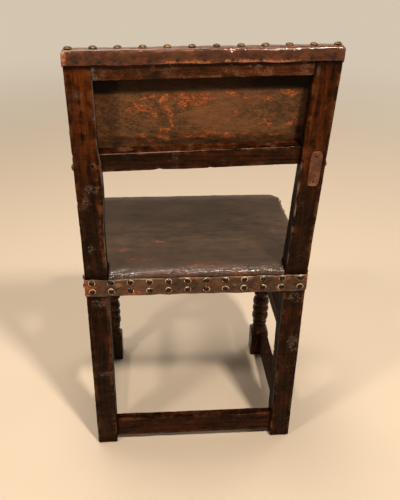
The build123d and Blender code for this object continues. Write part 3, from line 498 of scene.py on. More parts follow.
for side, name in both:
    middle = (side * (front_x - leg_size / 2), front_face + leg_size / 2)
    grid = points_of(*(middle[k] + radius * way[:, k] for k in (0, 1)), leg_z[:, None])
    dents = 0.16 * ripple(grid, 45, 60 + side) + 0.09 * ripple(grid, 12, 62 + side) - 0.12
    dents -= 1.1 * ease(ripple(grid, 11, 64 + side), 1.3, 2.2)
    grid[..., :2] += dents[..., None] * way
    crown = np.where(is_turned, ease(radius, 19.2, 21.3) * 0.75, corner)
    # Darker in the hollows of the turning and towards the floor, with dirt and painted shade just under the
    # seat band.
    sunk = np.where(is_turned, 1 - ease(radius, 16.2, 19.0), 0.0)
    sunk += 0.5 * (1 - ease(grid[..., 2], 0, 22)) + 0.6 * bell(grid[..., 2], 434, 6)
    put_oak(f"front_leg_{name}", grid, {"rub": crown, "dirt_and_shade": np.clip(0.7 * sunk, 0, 1)}, turned_oak)

# ---- the two rails of the back
# Oak bars tenoned between the stiles, flush with their front faces. Both sit a little out of
# level. The lower one has an old sawn face, and its upper edge has been rubbed round.
back_lean = np.arctan(front_tan)
up_back = np.array((0, np.sin(back_lean), np.cos(back_lean)))
out_front = np.array((0, -np.cos(back_lean), np.sin(back_lean)))
cross_oak = old_oak("oak_across", (0.07, 1, 1), (0.1, 0.47, 0.2))
crest_oak = old_oak("oak_crest", (0.12, 1, 1), (0.4, 0.17, 0.33), 0.2)


def on_back(x, z, out):
    """Point of the sloping front plane of the back at x and height z, moved forwards by out."""
    return points_of(x, front_y(z), z) + out * out_front


for name, low, high, drop, thick, seed in (
    ("crest_rail", 926.8, 974.0, 8.4, 19.5, 71),
    ("lower_back_rail", 744.9, 784.8, 11.5, 22.0, 81),
):
    is_crest = name == "crest_rail"
    x = np.linspace(-rear_inner - 0.8, rear_inner + 0.8, 96)
    centre = on_back(x, (low + high) / 2 - x * drop / (2 * rear_inner), -thick / 2)
    half_up = (high - low) / 2 / np.cos(back_lean)
    rounds = np.clip(1.8 + 0.6 * ripple(centre, 90, seed)[:, None] * np.ones(4), 1.0, 4)
    rounds[:, (1, 2)] += 0.8
    grid, edge = stave(centre, up_back, -out_front, half_up, thick / 2, rounds, seed)
    x, y, z = np.moveaxis(grid, -1, 0)
    z[:] = np.minimum(z, wood_top - 0.5 - x * top_slope)
    ends = ease(np.abs(x), rear_inner - 14, rear_inner)
    dirt_and_shade = (0.2 if is_crest else 0.7) * ends
    if is_crest:
        # Painted shadow of the turned-over back hide, in a line just under its lower edge.
        dirt_and_shade += bell(z + x * top_slope, 948, 4.0)
        marks = {"rub": 1.2 * edge, "warm": 0.95, "scratch": 0.55, "pale_and_highlight": 0.9 * ease(x, 180, 182)}
    else:
        # A pale line along the upper rear arris: worn wood with a painted highlight.
        worn_lit_arris = np.zeros(section_points)
        worn_lit_arris[1:3] = 0.9
        upper = np.arange(section_points) >= 37
        dirt_and_shade += 0.45 * upper
        marks = {"rub": 1.2 * edge + 0.9 * upper, "warm": 0.12 + 0.9 * upper, "scratch": 0.3}
        marks["pale_and_highlight"] = worn_lit_arris * (1 - 0.8 * ends)
    put_oak(name, grid, marks | {"dirt_and_shade": np.clip(dirt_and_shade, 0, 1)}, crest_oak if is_crest else cross_oak)

# ---- the rails of the seat
# Oak bars tenoned into the legs at the top. Leather covers their outsides, and their insides
# and undersides are left rough from the saw.
hide, lay, band_hide = 2.5, 0.3, 2.0
rail_low, rail_thick = 438.0, 24.0
side_rear_x = rear_x - hide - lay
side_taper = (side_rear_x - front_x) / (-leg_depth - front_face)


def side_x(y):
    """X of the outer face of the left side rail at depth y: a straight line."""
    return side_rear_x - (-leg_depth - y) * side_taper


def bar(name, start, end, half_across, half_deep, arris, seed, finish, shade_along=0.0):
    """Straight level bar between two centres, with its own worn corners, dirty at its ends, and with painted
    shade all along by shade_along.
    """
    start, end = np.array(start), np.array(end)
    length = np.linalg.norm(end - start)
    deep = np.array((0, 0, 1.0))
    across = np.cross(deep, (end - start) / length)
    along = np.linspace(0, 1, max(12, int(length / 5.0)))[:, None]
    centre = start + along * (end - start)
    rounds = np.clip(arris + 0.35 * arris * ripple(centre, 80, seed)[:, None] * np.ones(4), 0.8, 5)
    grid, edge = stave(centre, across, deep, half_across, half_deep, rounds, seed)
    ends = shade_along + (0.7 - shade_along) * (1 - ease(np.minimum(along, 1 - along) * length, 0, 14))
    put_oak(name, grid, {"rub": edge, "dirt_and_shade": ends, "warm": 0.22}, finish)


long_oak = old_oak("oak_front_to_back", (1, 0.07, 1), (0.2, 0.3, 0.71))
rail_z, half_rail, half_thick = (rail_low + seat_wood) / 2, (seat_wood - rail_low) / 2, rail_thick / 2
rear_rail_y = -lay - hide - half_thick
front_rail_y = front_face + half_thick
for name, reach, y, seed in (
    ("rear_seat_rail", 184.5, rear_rail_y, 91), ("front_seat_rail", 176.5, front_rail_y, 93),
):
    bar(name, (-reach, y, rail_z), (reach, y, rail_z), half_thick, half_rail, 1.2, seed, cross_oak)
shoulders = np.array((-leg_depth, front_face + leg_size))
for side, name in both:
    ends = [(side * (side_x(y) - half_thick), y, rail_z) for y in shoulders + (0.5, -0.5)]
    bar(f"side_seat_rail_{name}", *ends, half_thick, half_rail, 1.2, 95 + side, long_oak)

# ---- plain stretchers
# Sawn oak bars tenoned low between the legs, one at the rear and two at each side. Feet have
# rubbed the upper edges round.
stretcher_half = 9.5
bar("rear_stretcher", (-184.8, -14.5, 46.5), (184.8, -14.5, 46.5), stretcher_half, 27.5, 2.2, 101, cross_oak)
for side, name in both:
    for level_name, low, high in (("low", 22.0, 79.0), ("high", 245.0, 286.0)):
        depths = shoulders + (0.8, -0.8)
        outer = rear_x - 5 - (rear_x - front_x) * (shoulders[0] - depths) / (shoulders[0] - shoulders[1])
        ends = [(side * (x - stretcher_half), y, (low + high) / 2) for x, y in zip(outer, depths)]
        node, half_up = f"{level_name}_side_stretcher_{name}", (high - low) / 2
        # The side stretchers stand under the seat and get painted shade all along.
        bar(node, *ends, stretcher_half, half_up, 2.0, int(low) + side, long_oak, shade_along=0.55)

# ---- turned front stretcher
# An oak baluster of beads about one long middle bead, tapering at both ends to its tenons.
small_bead = 13.0
stretcher_beads = (small_bead, 28.0, 21.0, 28.0, 21.0, 40.0, 21.0, 28.0, 21.0, 28.0, small_bead)
half_span, shank, stretcher_z = 176.0, 34.0, 250.0
bead_scale = 2 * (half_span - shank) / sum(stretcher_beads)
x = np.arange(-half_span - 0.5, half_span + 0.6, 1.1)
crowns = [(length, 18.5 if length == small_bead else 21.2) for length in stretcher_beads]
radius = bead_radius_at(x, shank - half_span, crowns, bead_scale)
radius = np.where(radius > 0, radius, 12 + 4.2 * ease(half_span - np.abs(x), 0, shank))[:, None]
angle = np.radians(np.arange(0, 360, 7.5))
way = points_of(0, np.cos(angle), np.sin(angle))
grid = points_of(x, front_face + leg_size / 2, stretcher_z)[:, None] + radius[..., None] * way
grid += (0.15 * ripple(grid, 40, 111) - 0.12 - 0.8 * ease(ripple(grid, 11, 112), 1.4, 2.2))[..., None] * way
marks = {"rub": 0.8 * ease(radius, 19.2, 21.2), "dirt_and_shade": 0.8 * (1 - ease(radius, 16.2, 18.6))}
put_oak("front_stretcher", grid, marks, cross_oak)

# ---- oak pegs
# Riven pegs driven through the mortise and tenon joints and cut off flush. They are the same
# wood as the legs, and only their ends show.
for name in ("back_frame_pegs", "rear_leg_pegs", "front_leg_pegs"):
    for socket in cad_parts[name].material_slots:
        socket.material = leg_oak

# ---- webbing under the seat
# Coarse flax webs, three across and three from front to back, woven over and under each other
# and tacked to the tops of the rails. Each is one flat strip, cut to length.
web_width, web_thick, web_on_rail = 48.0, 0.9, 15.5
web_mid_y = (-leg_depth + front_face + leg_size) / 2
cross_step, long_step = 250 / 3, 352 / 3
cross_y = [web_mid_y + cross_step * k for k in (-1, 0, 1)]
long_x = [long_step * k for k in (-1, 0, 1)]


def sheet_faces(rows, columns):
    """Quads of an open grid."""
    index = np.arange(rows * columns).reshape(rows, columns)
    return np.stack([index[:-1, :-1], index[:-1, 1:], index[1:, 1:], index[1:, :-1]], -1).reshape(-1, 4)


def thicken(piece, thickness, second=None):
    """Gives an open skin its thickness, inwards from the side that its faces point to, and a
    finish of its own to the inner side where one is named."""
    wall = piece.modifiers.new("thickness", "SOLIDIFY")
    wall.thickness, wall.offset = thickness / 1000, -1
    if second:
        piece.data.materials.append(second)
        wall.material_offset = 1


def own_map(piece, across, along):
    """Flat map of a strip, in metres across and along it, one value of each per point."""
    layer = piece.data.uv_layers.new(name="flat")
    corner = np.empty(len(piece.data.loops), dtype=np.int32)
    piece.data.loops.foreach_get("vertex_index", corner)
    layer.data.foreach_set("uv", (np.stack([across, along], -1)[corner] / 1000).ravel())


def woven(name, thread, warp_tint, weft_tint, stripe=0.0):
    """Plain weave on the flat map: two sets of round threads, each thread over and under the
    next, as the product of two waves; stripe darkens two lines along a web."""
    made, tree = new_finish(name)
    flat = add(tree, "UVMap", uv_map="flat")
    u, v = add(tree, "SeparateXYZ", Vector=flat).node.outputs[:2]
    half_turns = np.pi / thread
    over, along = (reckon("SINE", times(way, half_turns)) for way in (u, v))
    check = step(times(over, along), -0.25, 0.25)
    place = own_place(tree)
    uneven = noise(place, 220, 4, 0.6)
    colour = mix(check, warp_tint, weft_tint)
    colour = mix(step(uneven, 0.45, 0.75, 0.6), colour, tuple(0.45 * c for c in warp_tint))
    colour = mix(step(noise(place, 17, 4, 0.6), 0.45, 0.7, 0.7), colour, (0.055, 0.034, 0.018))
    if stripe:
        line = unsigned(minus(unsigned(u), stripe))
        colour = mix(minus(1.0, step(line, 0.0015, 0.0025)), colour, (0.05, 0.028, 0.02))
    height = plus(times(unsigned(over), unsigned(along)), times(uneven, 0.6))
    finish_off(colour, 0.92, height, thread * 0.35)
    return made


web_finish = woven("flax_web", 0.0016, (0.30, 0.22, 0.12), (0.40, 0.31, 0.18), 0.017)
across = np.linspace(-web_width / 2, web_width / 2, 13)
for kind, places, crossings, carriers in (
    ("cross", cross_y, long_x, ["side_seat_rail_left_oak", "side_seat_rail_right_oak"]),
    ("long", long_x, cross_y, ["rear_seat_rail_oak", "front_seat_rail_oak"]),
):
    is_cross = kind == "cross"
    for number, place in enumerate(places):
        if is_cross:
            reach = side_x(place) - rail_thick + web_on_rail
            along = np.linspace(-reach, reach, 110)
            x, y = np.meshgrid(along, place + across, indexing="ij")
        else:
            past = web_on_rail - half_thick
            along = np.linspace(front_rail_y - past, rear_rail_y + past, 90)
            y, x = np.meshgrid(along, place + across, indexing="ij")
        run = x if is_cross else y
        z = np.full(run.shape, seat_wood + 1.0)
        for k, crossing in enumerate(crossings):
            over = 1 if (k + number) % 2 == is_cross else -1
            z += over * 0.52 * np.exp(-(((run - crossing) / 36) ** 4))
        near = np.min([np.abs(run - crossing) for crossing in crossings], axis=0)
        z -= 0.9 * ease(near, 34, 50) * (np.abs(run - np.mean(crossings)) > 1) * (0.5 if is_cross else 1)
        z += 0.25 * ripple(points_of(x, y, z), 60, 130 + number)
        faces = sheet_faces(*run.shape)
        name = f"web_{kind}_{number + 1}"
        web = put(name, points_of(x, y, z), faces, {}, web_finish, f"{kind}_webbing")
        if web.data.polygons[0].normal.z < 0:
            web.data.flip_normals()
        own_map(web, np.tile(across, len(along)), np.repeat(along, len(across)))
        thicken(web, web_thick)
        length = (along[-1] - along[0]) / 1000

# ---- sackcloth over the webs
# A loose hemp cloth tacked to the rails over the webs. It keeps the stuffing from falling
# through, and sags a little between the webs.
notch_x, notch_y = 183.4, -48.6
cloth_half = [(notch_x, -10.0), (notch_x, notch_y), (212.0, notch_y), (208.0, -330.0)]


def side_steps(corners, spacing):
    """How many points go on each side of an outline at about a spacing."""
    return [max(2, int(n / spacing)) for n in np.linalg.norm(np.roll(corners, -1, 0) - corners, axis=1)]


def rounded_loop(corners, radii, steps, bend=8):
    """Points and outward normals round a closed outline that runs anticlockwise: an arc of
    its own radius at each corner and even steps along each side."""
    radii = np.broadcast_to(radii, len(corners))
    before, after = np.roll(corners, 1, 0) - corners, np.roll(corners, -1, 0) - corners
    before, after = (way / np.linalg.norm(way, axis=1)[:, None] for way in (before, after))
    turned = np.sign(np.cross(-before, after))
    half = np.arccos(np.clip((before * after).sum(1), -1, 1)) / 2
    middle = (before + after) / np.linalg.norm(before + after, axis=1)[:, None]
    centres = corners + middle * (radii / np.sin(half))[:, None]
    reach = radii / np.tan(half)
    spots, normals = [], []
    for k in range(len(corners)):
        first = corners[k] + before[k] * reach[k] - centres[k]
        angle = np.arctan2(first[1], first[0]) + turned[k] * np.linspace(0, np.pi - 2 * half[k], bend + 1)
        way = np.stack([np.cos(angle), np.sin(angle)], -1)
        spots.append(centres[k] + radii[k] * way)
        normals.append(way * turned[k])
        follow = (k + 1) % len(corners)
        end = corners[follow] + before[follow] * reach[follow]
        share = np.linspace(0, 1, steps[k] + 2)[1:-1, None]
        spots.append(spots[-1][-1] + (end - spots[-1][-1]) * share)
        normals.append(np.repeat([(after[k][1], -after[k][0])], steps[k], 0))
    return np.concatenate(spots), np.concatenate(normals)


def inward(corners, distances):
    """Outline whose sides are moved in, each by its own distance."""
    way = np.roll(corners, -1, 0) - corners
    way /= np.linalg.norm(way, axis=1)[:, None]
    out = np.stack([way[:, 1], -way[:, 0]], -1)
    level = (out * corners).sum(1) - distances
    pairs = np.stack([np.roll(out, 1, 0), out], 1)
    return np.linalg.solve(pairs, np.stack([np.roll(level, 1), level], -1)[..., None])[..., 0]


def both_sides(half):
    """Outline that runs round anticlockwise, from its half on the left of the chair."""
    half = np.asarray(half, float)
    return np.concatenate([half[::-1] * (-1, 1), half])[::-1]


def disc_faces(rows, columns, closed=False):
    """Quads of rings that close round, the first ring drawn together to one point, and the last
    one too where the shape is closed."""
    index = np.arange(rows * columns).reshape(rows, columns)
    index[0] = index[0, 0]
    if closed:
        index[-1] = index[-1, 0]
    return ring_quads(index).reshape(-1, 4)


def rings(outline, centre, shares):
    """Rings from a centre out to an outline, at the given shares of the way."""
    return centre + (outline - centre) * np.asarray(shares)[:, None, None]


seat_middle = np.array((0.0, -170.0))
cloth_corners = both_sides(cloth_half)
loop, _ = rounded_loop(cloth_corners, 2.0, side_steps(cloth_corners, 6.0))
x, y = np.moveaxis(rings(loop, seat_middle, np.linspace(0, 1, 40)), -1, 0)
between = np.cos(x * 2 * np.pi / long_step) * np.cos((y - web_mid_y) * 2 * np.pi / cross_step)
z = seat_wood + 3.5 + 0.15 * between + 0.12 * ripple(points_of(x, y, 0), 40, 141)
sack_finish = woven("hemp_sacking", 0.0022, (0.26, 0.19, 0.10), (0.36, 0.28, 0.16))
faces = disc_faces(*x.shape)
sack = put("sackcloth_hemp", points_of(x, y, z), faces, {}, sack_finish, "sackcloth")
own_map(sack, x.ravel(), y.ravel())
thicken(sack, 0.8)

# ---- seat stuffing
# A thin pad of matted grass and hair, laid on the sackcloth and pressed down hard by the hide.
# It is closed in on every side.
pad_corners = both_sides([(174.0, -10.0), (174.0, -58.0), (219.0, -58.0), (214.5, -336.0)])
pad_low, pad_edge = seat_wood + 4.4, seat_wood + 6.0


def seat_height(x, y):
    """Top of the seat hide: higher at the rear, sunk at the middle, drawn down by the left stile."""
    rise = 19.0 - 7.0 * np.clip(y / front_face, 0, 1)
    sunk = 2.2 * spot(x, y, 0, -165, 120, 95)
    drawn = 8.5 * ease(x, 60, 185) * bell(y, -4, 32)
    full = 4.2 * bell(y, -22, 26) * (1 - 0.5 * ease(-x, 130, 185))
    return seat_wood + rise + full - sunk - drawn


loop, _ = rounded_loop(pad_corners, 5.0, side_steps(pad_corners, 7.0))
x, y = np.moveaxis(rings(loop, seat_middle, np.linspace(0, 1, 30)), -1, 0)
upper = points_of(x, y, seat_height(x, y) - 4.4)
upper[-1, :, 2] = pad_edge
upper[..., 2] += 0.35 * ripple(upper, 24, 151)
pad = np.concatenate([upper, points_of(x, y, pad_low)[::-1]])
grass, tree = new_finish("matted_grass")
strands = noise(own_place(tree, (1, 0.2, 1)), 900, 4, 0.7, 1.5)
straw = mix(step(strands, 0.35, 0.65), (0.07, 0.045, 0.02), (0.30, 0.21, 0.10))
finish_off(straw, 0.95, strands, 0.001)
faces = disc_faces(*pad.shape[:2], closed=True)
stuffing = put("seat_stuffing_grass", pad, faces, {}, grass, "seat_stuffing")

# ---- seat hide
# One cowhide, stretched over the stuffing and nailed to the outsides of the rails, cut away
# round the rear legs. It is dark, polished by use and crackled along its rolled rear edge.


def old_hide(
    name, deep, brown, scuff, rough, crackle, streak, strings=0.5, shine=0.3, faded=1.4, grain=0.3,
    cloud=95, lump=3.2, soft=0.14, side="",
):
    """Old cowhide: cloudy browns with a fine drawn grain, reddened and scuffed in flecks and
    strings where the mark rub is high, dark and dull by dirt_and_shade (dirt and painted shade),
    paler by pale_and_highlight (pale wear and painted highlights), with a net of fine cracks
    from cell edges where crackle is high, which also waxes it, and pores. The name of a side
    picks marks of its own for rub and dirt_and_shade."""
    made, tree = new_finish(name)
    place, drawn = own_place(tree), own_place(tree, streak)
    clouds = noise(place, 14, 5, 0.6)
    mottle = noise(drawn, cloud, 7, 0.68)
    fibres = noise(drawn, 420, 3, 0.6)
    pores = noise(place, 900, 2, 0.5)
    flecks = noise(drawn, 210, 6, 0.76, 0.6)
    tangle = noise(drawn, 38, 6, 0.66, 1.4)
    ridge = minus(1.0, step(unsigned(minus(tangle, 0.5)), 0.0, 0.045))
    wander = add(tree, "TexNoise", Vector=place, Scale=120).node.outputs["Color"]
    bend = add(tree, "VectorMath", operation="MULTIPLY_ADD")
    for slot, value in zip(bend.node.inputs, (wander, (0.004, 0.004, 0.004), place)):
        feed(slot, value)
    cells = add(tree, "TexVoronoi", feature="DISTANCE_TO_EDGE", Vector=bend, Scale=330)
    broken = mark(tree, "crackle")
    patch = step(plus(clouds, times(broken, 0.4)), 0.55, 0.8)
    net = times(minus(1.0, step(cells, 0.02, 0.16)), times(patch, crackle))
    shade = plus(times(mottle, 1 - grain), times(fibres, grain))
    colour = mix(step(shade, 0.5 - soft, 0.5 + soft), deep, brown)
    colour = mix(step(clouds, 0.48, 0.70, 0.5), colour, tuple(faded * c for c in brown))
    rub = mark(tree, "rub" + side)
    reddened = times(step(rub, 0.2, 1.1), step(mottle, 0.36, 0.6, 0.75))
    colour = mix(reddened, colour, tuple(0.3 * c for c in scuff))
    lines = times(times(ridge, rub), 0.22 * strings)
    bare = step(plus(plus(flecks, times(rub, 0.13)), lines), 0.665, 0.76, 0.92)
    layer = mix(step(fibres, 0.36, 0.62), tuple(0.35 * c for c in scuff), scuff)
    colour = mix(bare, colour, layer)
    colour = mix(times(net, 0.75), colour, tuple(0.4 * c for c in deep))
    # Dirt, and painted shade where a piece's marks put it, darken the hide.
    dirt_and_shade = mark(tree, "dirt_and_shade" + side)
    colour = mix(dirt_and_shade, colour, tuple(0.13 * c for c in deep))
    # Pale wear, and painted highlights along edges, from the mark pale_and_highlight.
    worn = times(mark(tree, "pale_and_highlight"), step(mottle, 0.36, 0.54))
    colour = mix(worn, colour, (0.50, 0.27, 0.15))
    limits = {"From_Min": 0.3, "From_Max": 0.7, "To_Min": rough - 0.08, "To_Max": rough + 0.1}
    gloss = times(add(tree, "MapRange", Value=mottle, **limits), minus(1.0, times(broken, 0.68)))
    gloss = plus(gloss, times(dirt_and_shade, 0.4))
    height = plus(times(noise(drawn, 60, 2, 0.5), lump), times(noise(drawn, 190, 2, 0.5), 0.3 * lump))
    height = plus(minus(height, times(net, 0.25)), times(pores, 0.05))
    height = minus(height, times(bare, 0.15))
    look = {"Specular_IOR_Level": shine, "Specular_Tint": (1, 0.85, 0.72, 1), "Coat_Roughness": 0.14}
    finish_off(colour, gloss, height, 0.0009, Coat_Weight=broken, **look)
    return made


out = lay + hide
seat_edge = [(side_x(y) + out, y) for y in (notch_y, front_face - out)]
seat_corners = both_sides([(notch_x, -lay), (notch_x, notch_y), *seat_edge])
seat_steps = side_steps(seat_corners, 4.0)
corner_x, corner_y = np.abs(seat_corners[:, 0]), seat_corners[:, 1]
at_front = corner_y < -300
cases = [at_front, (corner_x > 200) & ~at_front, (corner_x < 200) & (corner_y < -20)]
low_loop, _ = rounded_loop(seat_corners, np.select(cases, [8.0, 4.0, 2.0], 3.0), seat_steps)
high_loop, _ = rounded_loop(seat_corners, np.select(cases, [22.0, 9.0, 2.5], 3.5), seat_steps)
side_middle = (seat_corners + np.roll(seat_corners, -1, 0)) / 2
by_leg = (np.abs(side_middle) > (182, 0)).all(1) & (side_middle[:, 1] > -49)
by_leg |= np.abs(side_middle[:, 1] - notch_y) < 0.5
by_rail = np.abs(side_middle[:, 1] + lay) < 0.5
inner_corners = inward(seat_corners, np.select([by_leg, by_rail], [4.5, 13.0], 9.0))
inset, _ = rounded_loop(inner_corners, np.select(cases, [18.0, 2.0, 6.0], 0.6), seat_steps)
flat = rings(inset, seat_middle, np.concatenate([np.linspace(0, 0.9, 46), (0.94, 0.97, 0.99, 1.0)]))
x, y = np.moveaxis(flat, -1, 0)
top = points_of(x, y, seat_height(x, y))
edge_z = top[-1, :, 2]
roll = np.clip(np.linalg.norm(high_loop - inset, axis=1), 3.0, 10.0)
arc = np.radians(np.linspace(12, 90, 7))[:, None]
x, y = high_loop.T
swell = (3.6 * bell(y, -205, 60) - 5.2 * ease(-y, 235, 325)) * ease(np.abs(x), 140, 205) * (y < -49)
bulge = np.stack([np.sign(x) * swell, -2.6 * ease(-y, 325, 345)], -1)
rolled_xy = inset + (high_loop - inset + bulge) * np.sin(arc)[..., None]
rolled = points_of(*np.moveaxis(rolled_xy, -1, 0), edge_z - roll * (1 - np.cos(arc)))
skirt_foot = 439.0
drop = np.array((2.0, 4.5, 7.5, 11.0, 16.0, 22.0, 29.0, 36.0, 43.0))[:, None]
in_notch = (np.abs(low_loop[:, 0]) > 182.5) & (low_loop[:, 1] > -50.5)
floor_z = np.where(in_notch, edge_z - roll - 8, skirt_foot)
down_z = edge_z - roll - (edge_z - roll - floor_z) * drop / drop.max()
blend = ease(down_z, 476, 486)[..., None]
down_xy = low_loop * (1 - blend) + (high_loop + bulge) * blend
skirt = points_of(*np.moveaxis(down_xy, -1, 0), down_z)
grid = np.concatenate([top, rolled, skirt])
shape = grid.shape[:2]
x, y, z = np.moveaxis(grid, -1, 0)
level_part = np.zeros(shape)
level_part[: len(top)] = 1
level_part[len(top) : len(top) + len(arc)] = np.cos(arc)
z += level_part * (0.45 * ripple(grid, 85, 161) + 0.22 * ripple(grid, 22, 162))
near_rear = bell(y, -7, 14) * (np.abs(x) < 182)
wrinkles = 0.8 * np.abs(ripple(grid * (1, 0.5, 0.5), 15, 163)) + 0.35 * ripple(grid, 8, 164)
z -= level_part * near_rear * wrinkles
y -= (1 - level_part) * near_rear * (z > 478) * 0.5 * wrinkles
crackle = np.clip(near_rear + 0.5 * bell(y, -338, 14), 0, 1)
rub = 0.9 * near_rear * ease(z, 480, 488) + 0.5 * ease(z, 474, 480) * (1 - level_part) * (y > -60)
# Darker where the hide goes down into the notches by the rear legs.
dirt_and_shade = 0.7 * in_notch * (np.arange(shape[0])[:, None] > shape[0] - 12)
# Scuffs, and two broad patches of painted shade over the front of the seat.
for marked, amount, *where in (
    (rub, 1.1, -176, -165, 12, 10), (rub, 1.1, 120, -55, 55, 12), (rub, 1.1, 150, -95, 22, 12),
    (rub, 1.1, 80, -130, 26, 9), (rub, 1.1, -20, -30, 60, 14),
    (dirt_and_shade, 0.42, 90, -236, 120, 26), (dirt_and_shade, 0.25, -80, -250, 110, 24),
):
    marked += amount * spot(x, y, *where)
# Painted shade over the front part of the seat, where the back shades it, and darker over its rear part.
dirt_and_shade += 0.30 * level_part * (ease(-y, 230, 300) + ease(y, -130, -60) * (1 - near_rear))
marks = {"rub": np.clip(rub, 0, 1), "crackle": crackle, "dirt_and_shade": np.clip(dirt_and_shade, 0, 1)}
seat_finish = old_hide(
    "seat_hide", (0.018, 0.0100, 0.0056), (0.064, 0.0350, 0.0195), (0.26, 0.080, 0.032), 0.36, 1.0,
    (0.35, 1, 1), shine=0.26, grain=0.2, cloud=60, lump=1.6, soft=0.25,
)
seat = put("seat_leather_hide", grid, disc_faces(*shape), marks, seat_finish, "seat_leather")
thicken(seat, hide - 0.3)

# ---- nailed bands round the seat
# Strips of cowhide over the edges of the hide: one round the rear legs and the rear rail, one
# along the sides and the front. Nails hold them, and their cut edges are rubbed red.
edge_of_band = lay + hide + lay + band_hide
rear_rows, side_rows = (450.5, 472.0), (447.0, 467.0)
rear_inset, side_inset = 13.3, 12.8
rear_columns = np.linspace(rear_inset - rear_x, rear_x - rear_inset, 12)
side_depths = np.linspace(-leg_depth - side_inset, front_face + side_inset, 7)
front_columns = np.linspace(front_x - side_inset, side_inset - front_x, 11)
band_x, band_y = rear_x + lay + band_hide, lay + band_hide
skew = np.array((np.cos(np.arctan(side_taper)), -np.sin(np.arctan(side_taper)), 0))
rear_nails = [((x, band_y, z), (0, 1, 0)) for x in rear_columns for z in rear_rows]
rear_nails += [((side * band_x, -22.0, z), (side, 0, 0)) for side in (1, -1) for z in rear_rows]
side_nails = [
    ((side * (side_x(y) + edge_of_band / skew[0]), y, z), (side * skew[0], skew[1], 0))
    for side in (1, -1) for y in side_depths for z in side_rows
]
front_nails = [((x, front_face - edge_of_band, z), (0, -1, 0)) for x in front_columns for z in side_rows]


def dimples(points, nails, depth, reach):
    """How far nails press a skin in: a bell of the distance to the nearest one."""
    away = np.full(points.shape[:-1], 1e9)
    for centre, _ in nails:
        away = np.minimum(away, ((points - centre) ** 2).sum(-1))
    return depth * np.exp(-away / reach**2)


band_finish = old_hide(
    "band_hide", (0.022, 0.0100, 0.0048), (0.090, 0.042, 0.0205), (0.46, 0.115, 0.028), 0.38, 0.6,
    (0.6, 0.6, 1), faded=2.1,
)


def u_strip(node, corners, radii, low, high, nails, seed, wave=0.8):
    """Strip that stands on a U of lines in plan, with wavy edges, pressed in at its nails, and
    its length in metres."""
    corners = np.asarray(corners, float)
    closed = np.concatenate([corners, [(corners[-1] + corners[0]) / 2 * (1, 0.2)]])
    loop, normal = rounded_loop(closed, np.append(radii, 1.0), side_steps(closed, 3.5))
    start, end = (np.argmin(np.abs(loop - corners[k]).sum(1)) for k in (0, -1))
    loop, normal = loop[start : end + 1], normal[start : end + 1]
    share = np.linspace(0, 1, 17)[:, None]
    spine = points_of(*loop.T, 0.0)
    foot, head = low + wave * (1 + ripple(spine, 30, seed)), high - wave * (1 - ripple(spine, 38, seed + 1))
    grid = points_of(*loop.T, foot + (head - foot) * share)
    press = dimples(grid, nails, 0.55, 8.5) + 0.18 - 0.22 * ripple(grid, 26, seed + 2)
    lift = 0.5 * np.abs(2 * share - 1) ** 6 * (0.6 + ripple(grid, 24, seed + 3))
    grid = grid + (lift - press)[..., None] * points_of(*normal.T, 0.0)
    cut = np.abs(2 * share - 1) ** 5
    soil = 0.7 * ease(ripple(grid * (1, 1, 1.6), 17, seed + 8), 0.2, 1.3)
    ends = 0.9 * ease(loop[:, 0], 208, 222) + 1.2 * share * ease(-loop[:, 0], 222, 230)
    rub = 0.3 + (0.4 + 1.5 * ease(ripple(spine, 48, seed + 4), 0.4, 1.3)) * cut
    rub = rub + ends * (loop[:, 1] > -leg_depth) + 0.4 * ripple(grid, 40, seed + 5)
    # A broken painted highlight along the top cut edge, and pale worn patches.
    pale_and_highlight = 0.6 * (share > 0.97) * ease(ripple(spine, 30, seed + 6), -0.8, 0.4)
    pale_and_highlight = pale_and_highlight + 0.35 * ease(ripple(grid, 24, seed + 7), 0.9, 1.8)
    dirt_and_shade = np.clip(dimples(grid, nails, 0.85, 8.0) - 0.25 + soil, 0, 1)
    marks = {"rub": rub, "pale_and_highlight": pale_and_highlight, "crackle": 0.6 * cut, "dirt_and_shade": dirt_and_shade}
    faces = sheet_faces(*grid.shape[:2])
    strip = put(node + "_hide", grid, faces, marks, band_finish, node)
    thicken(strip, band_hide - 0.4)
    return strip, np.linalg.norm(np.diff(loop, axis=0), axis=1).sum() / 1000


rear_path = [(band_x, -leg_depth), (band_x, band_y), (-band_x, band_y), (-band_x, -leg_depth)]
side_ends = [(side_x(y) + edge_of_band, y) for y in (-leg_depth - 0.6, front_face - edge_of_band)]
side_path = [(-x, y) for x, y in side_ends] + side_ends[::-1]
for node, path, bend, low, high, nails, seed, width, under in (
    ("rear_seat_band", rear_path, 4.5, 438, 480, rear_nails, 171, 0.0405, "rear"),
    ("side_seat_band", side_path, 10.3, 436, 474, side_nails + front_nails, 181, 0.0365, "front"),
):
    strip, length = u_strip(node, path, [0.5, bend, bend, 0.5], low, high, nails, seed)
    carriers = ["seat_leather_hide", f"{under}_seat_rail_oak"]

# ---- back hide
# One cowhide nailed to the front of the back frame, drawn over the top and turned down the
# rear, where small iron tacks hold it. Its flesh side shows from behind between the rails:
# dry, brown and scuffed to a bright orange.
hide_top = wood_top + out
hem_z, hem_slope = 750.2, 10 / 460
round_top, even_fall, longest_fall = 7.5, 32.0, 224.0


def front_edge(z):
    """Y of the outside of the hide over the front of the back frame at height z."""
    return front_y(z) - out / np.cos(back_lean)


def rear_edge(z):
    """Y of the outside of the hide over the rear of the stiles at height z."""
    return rear_y(z) + out * 1.01


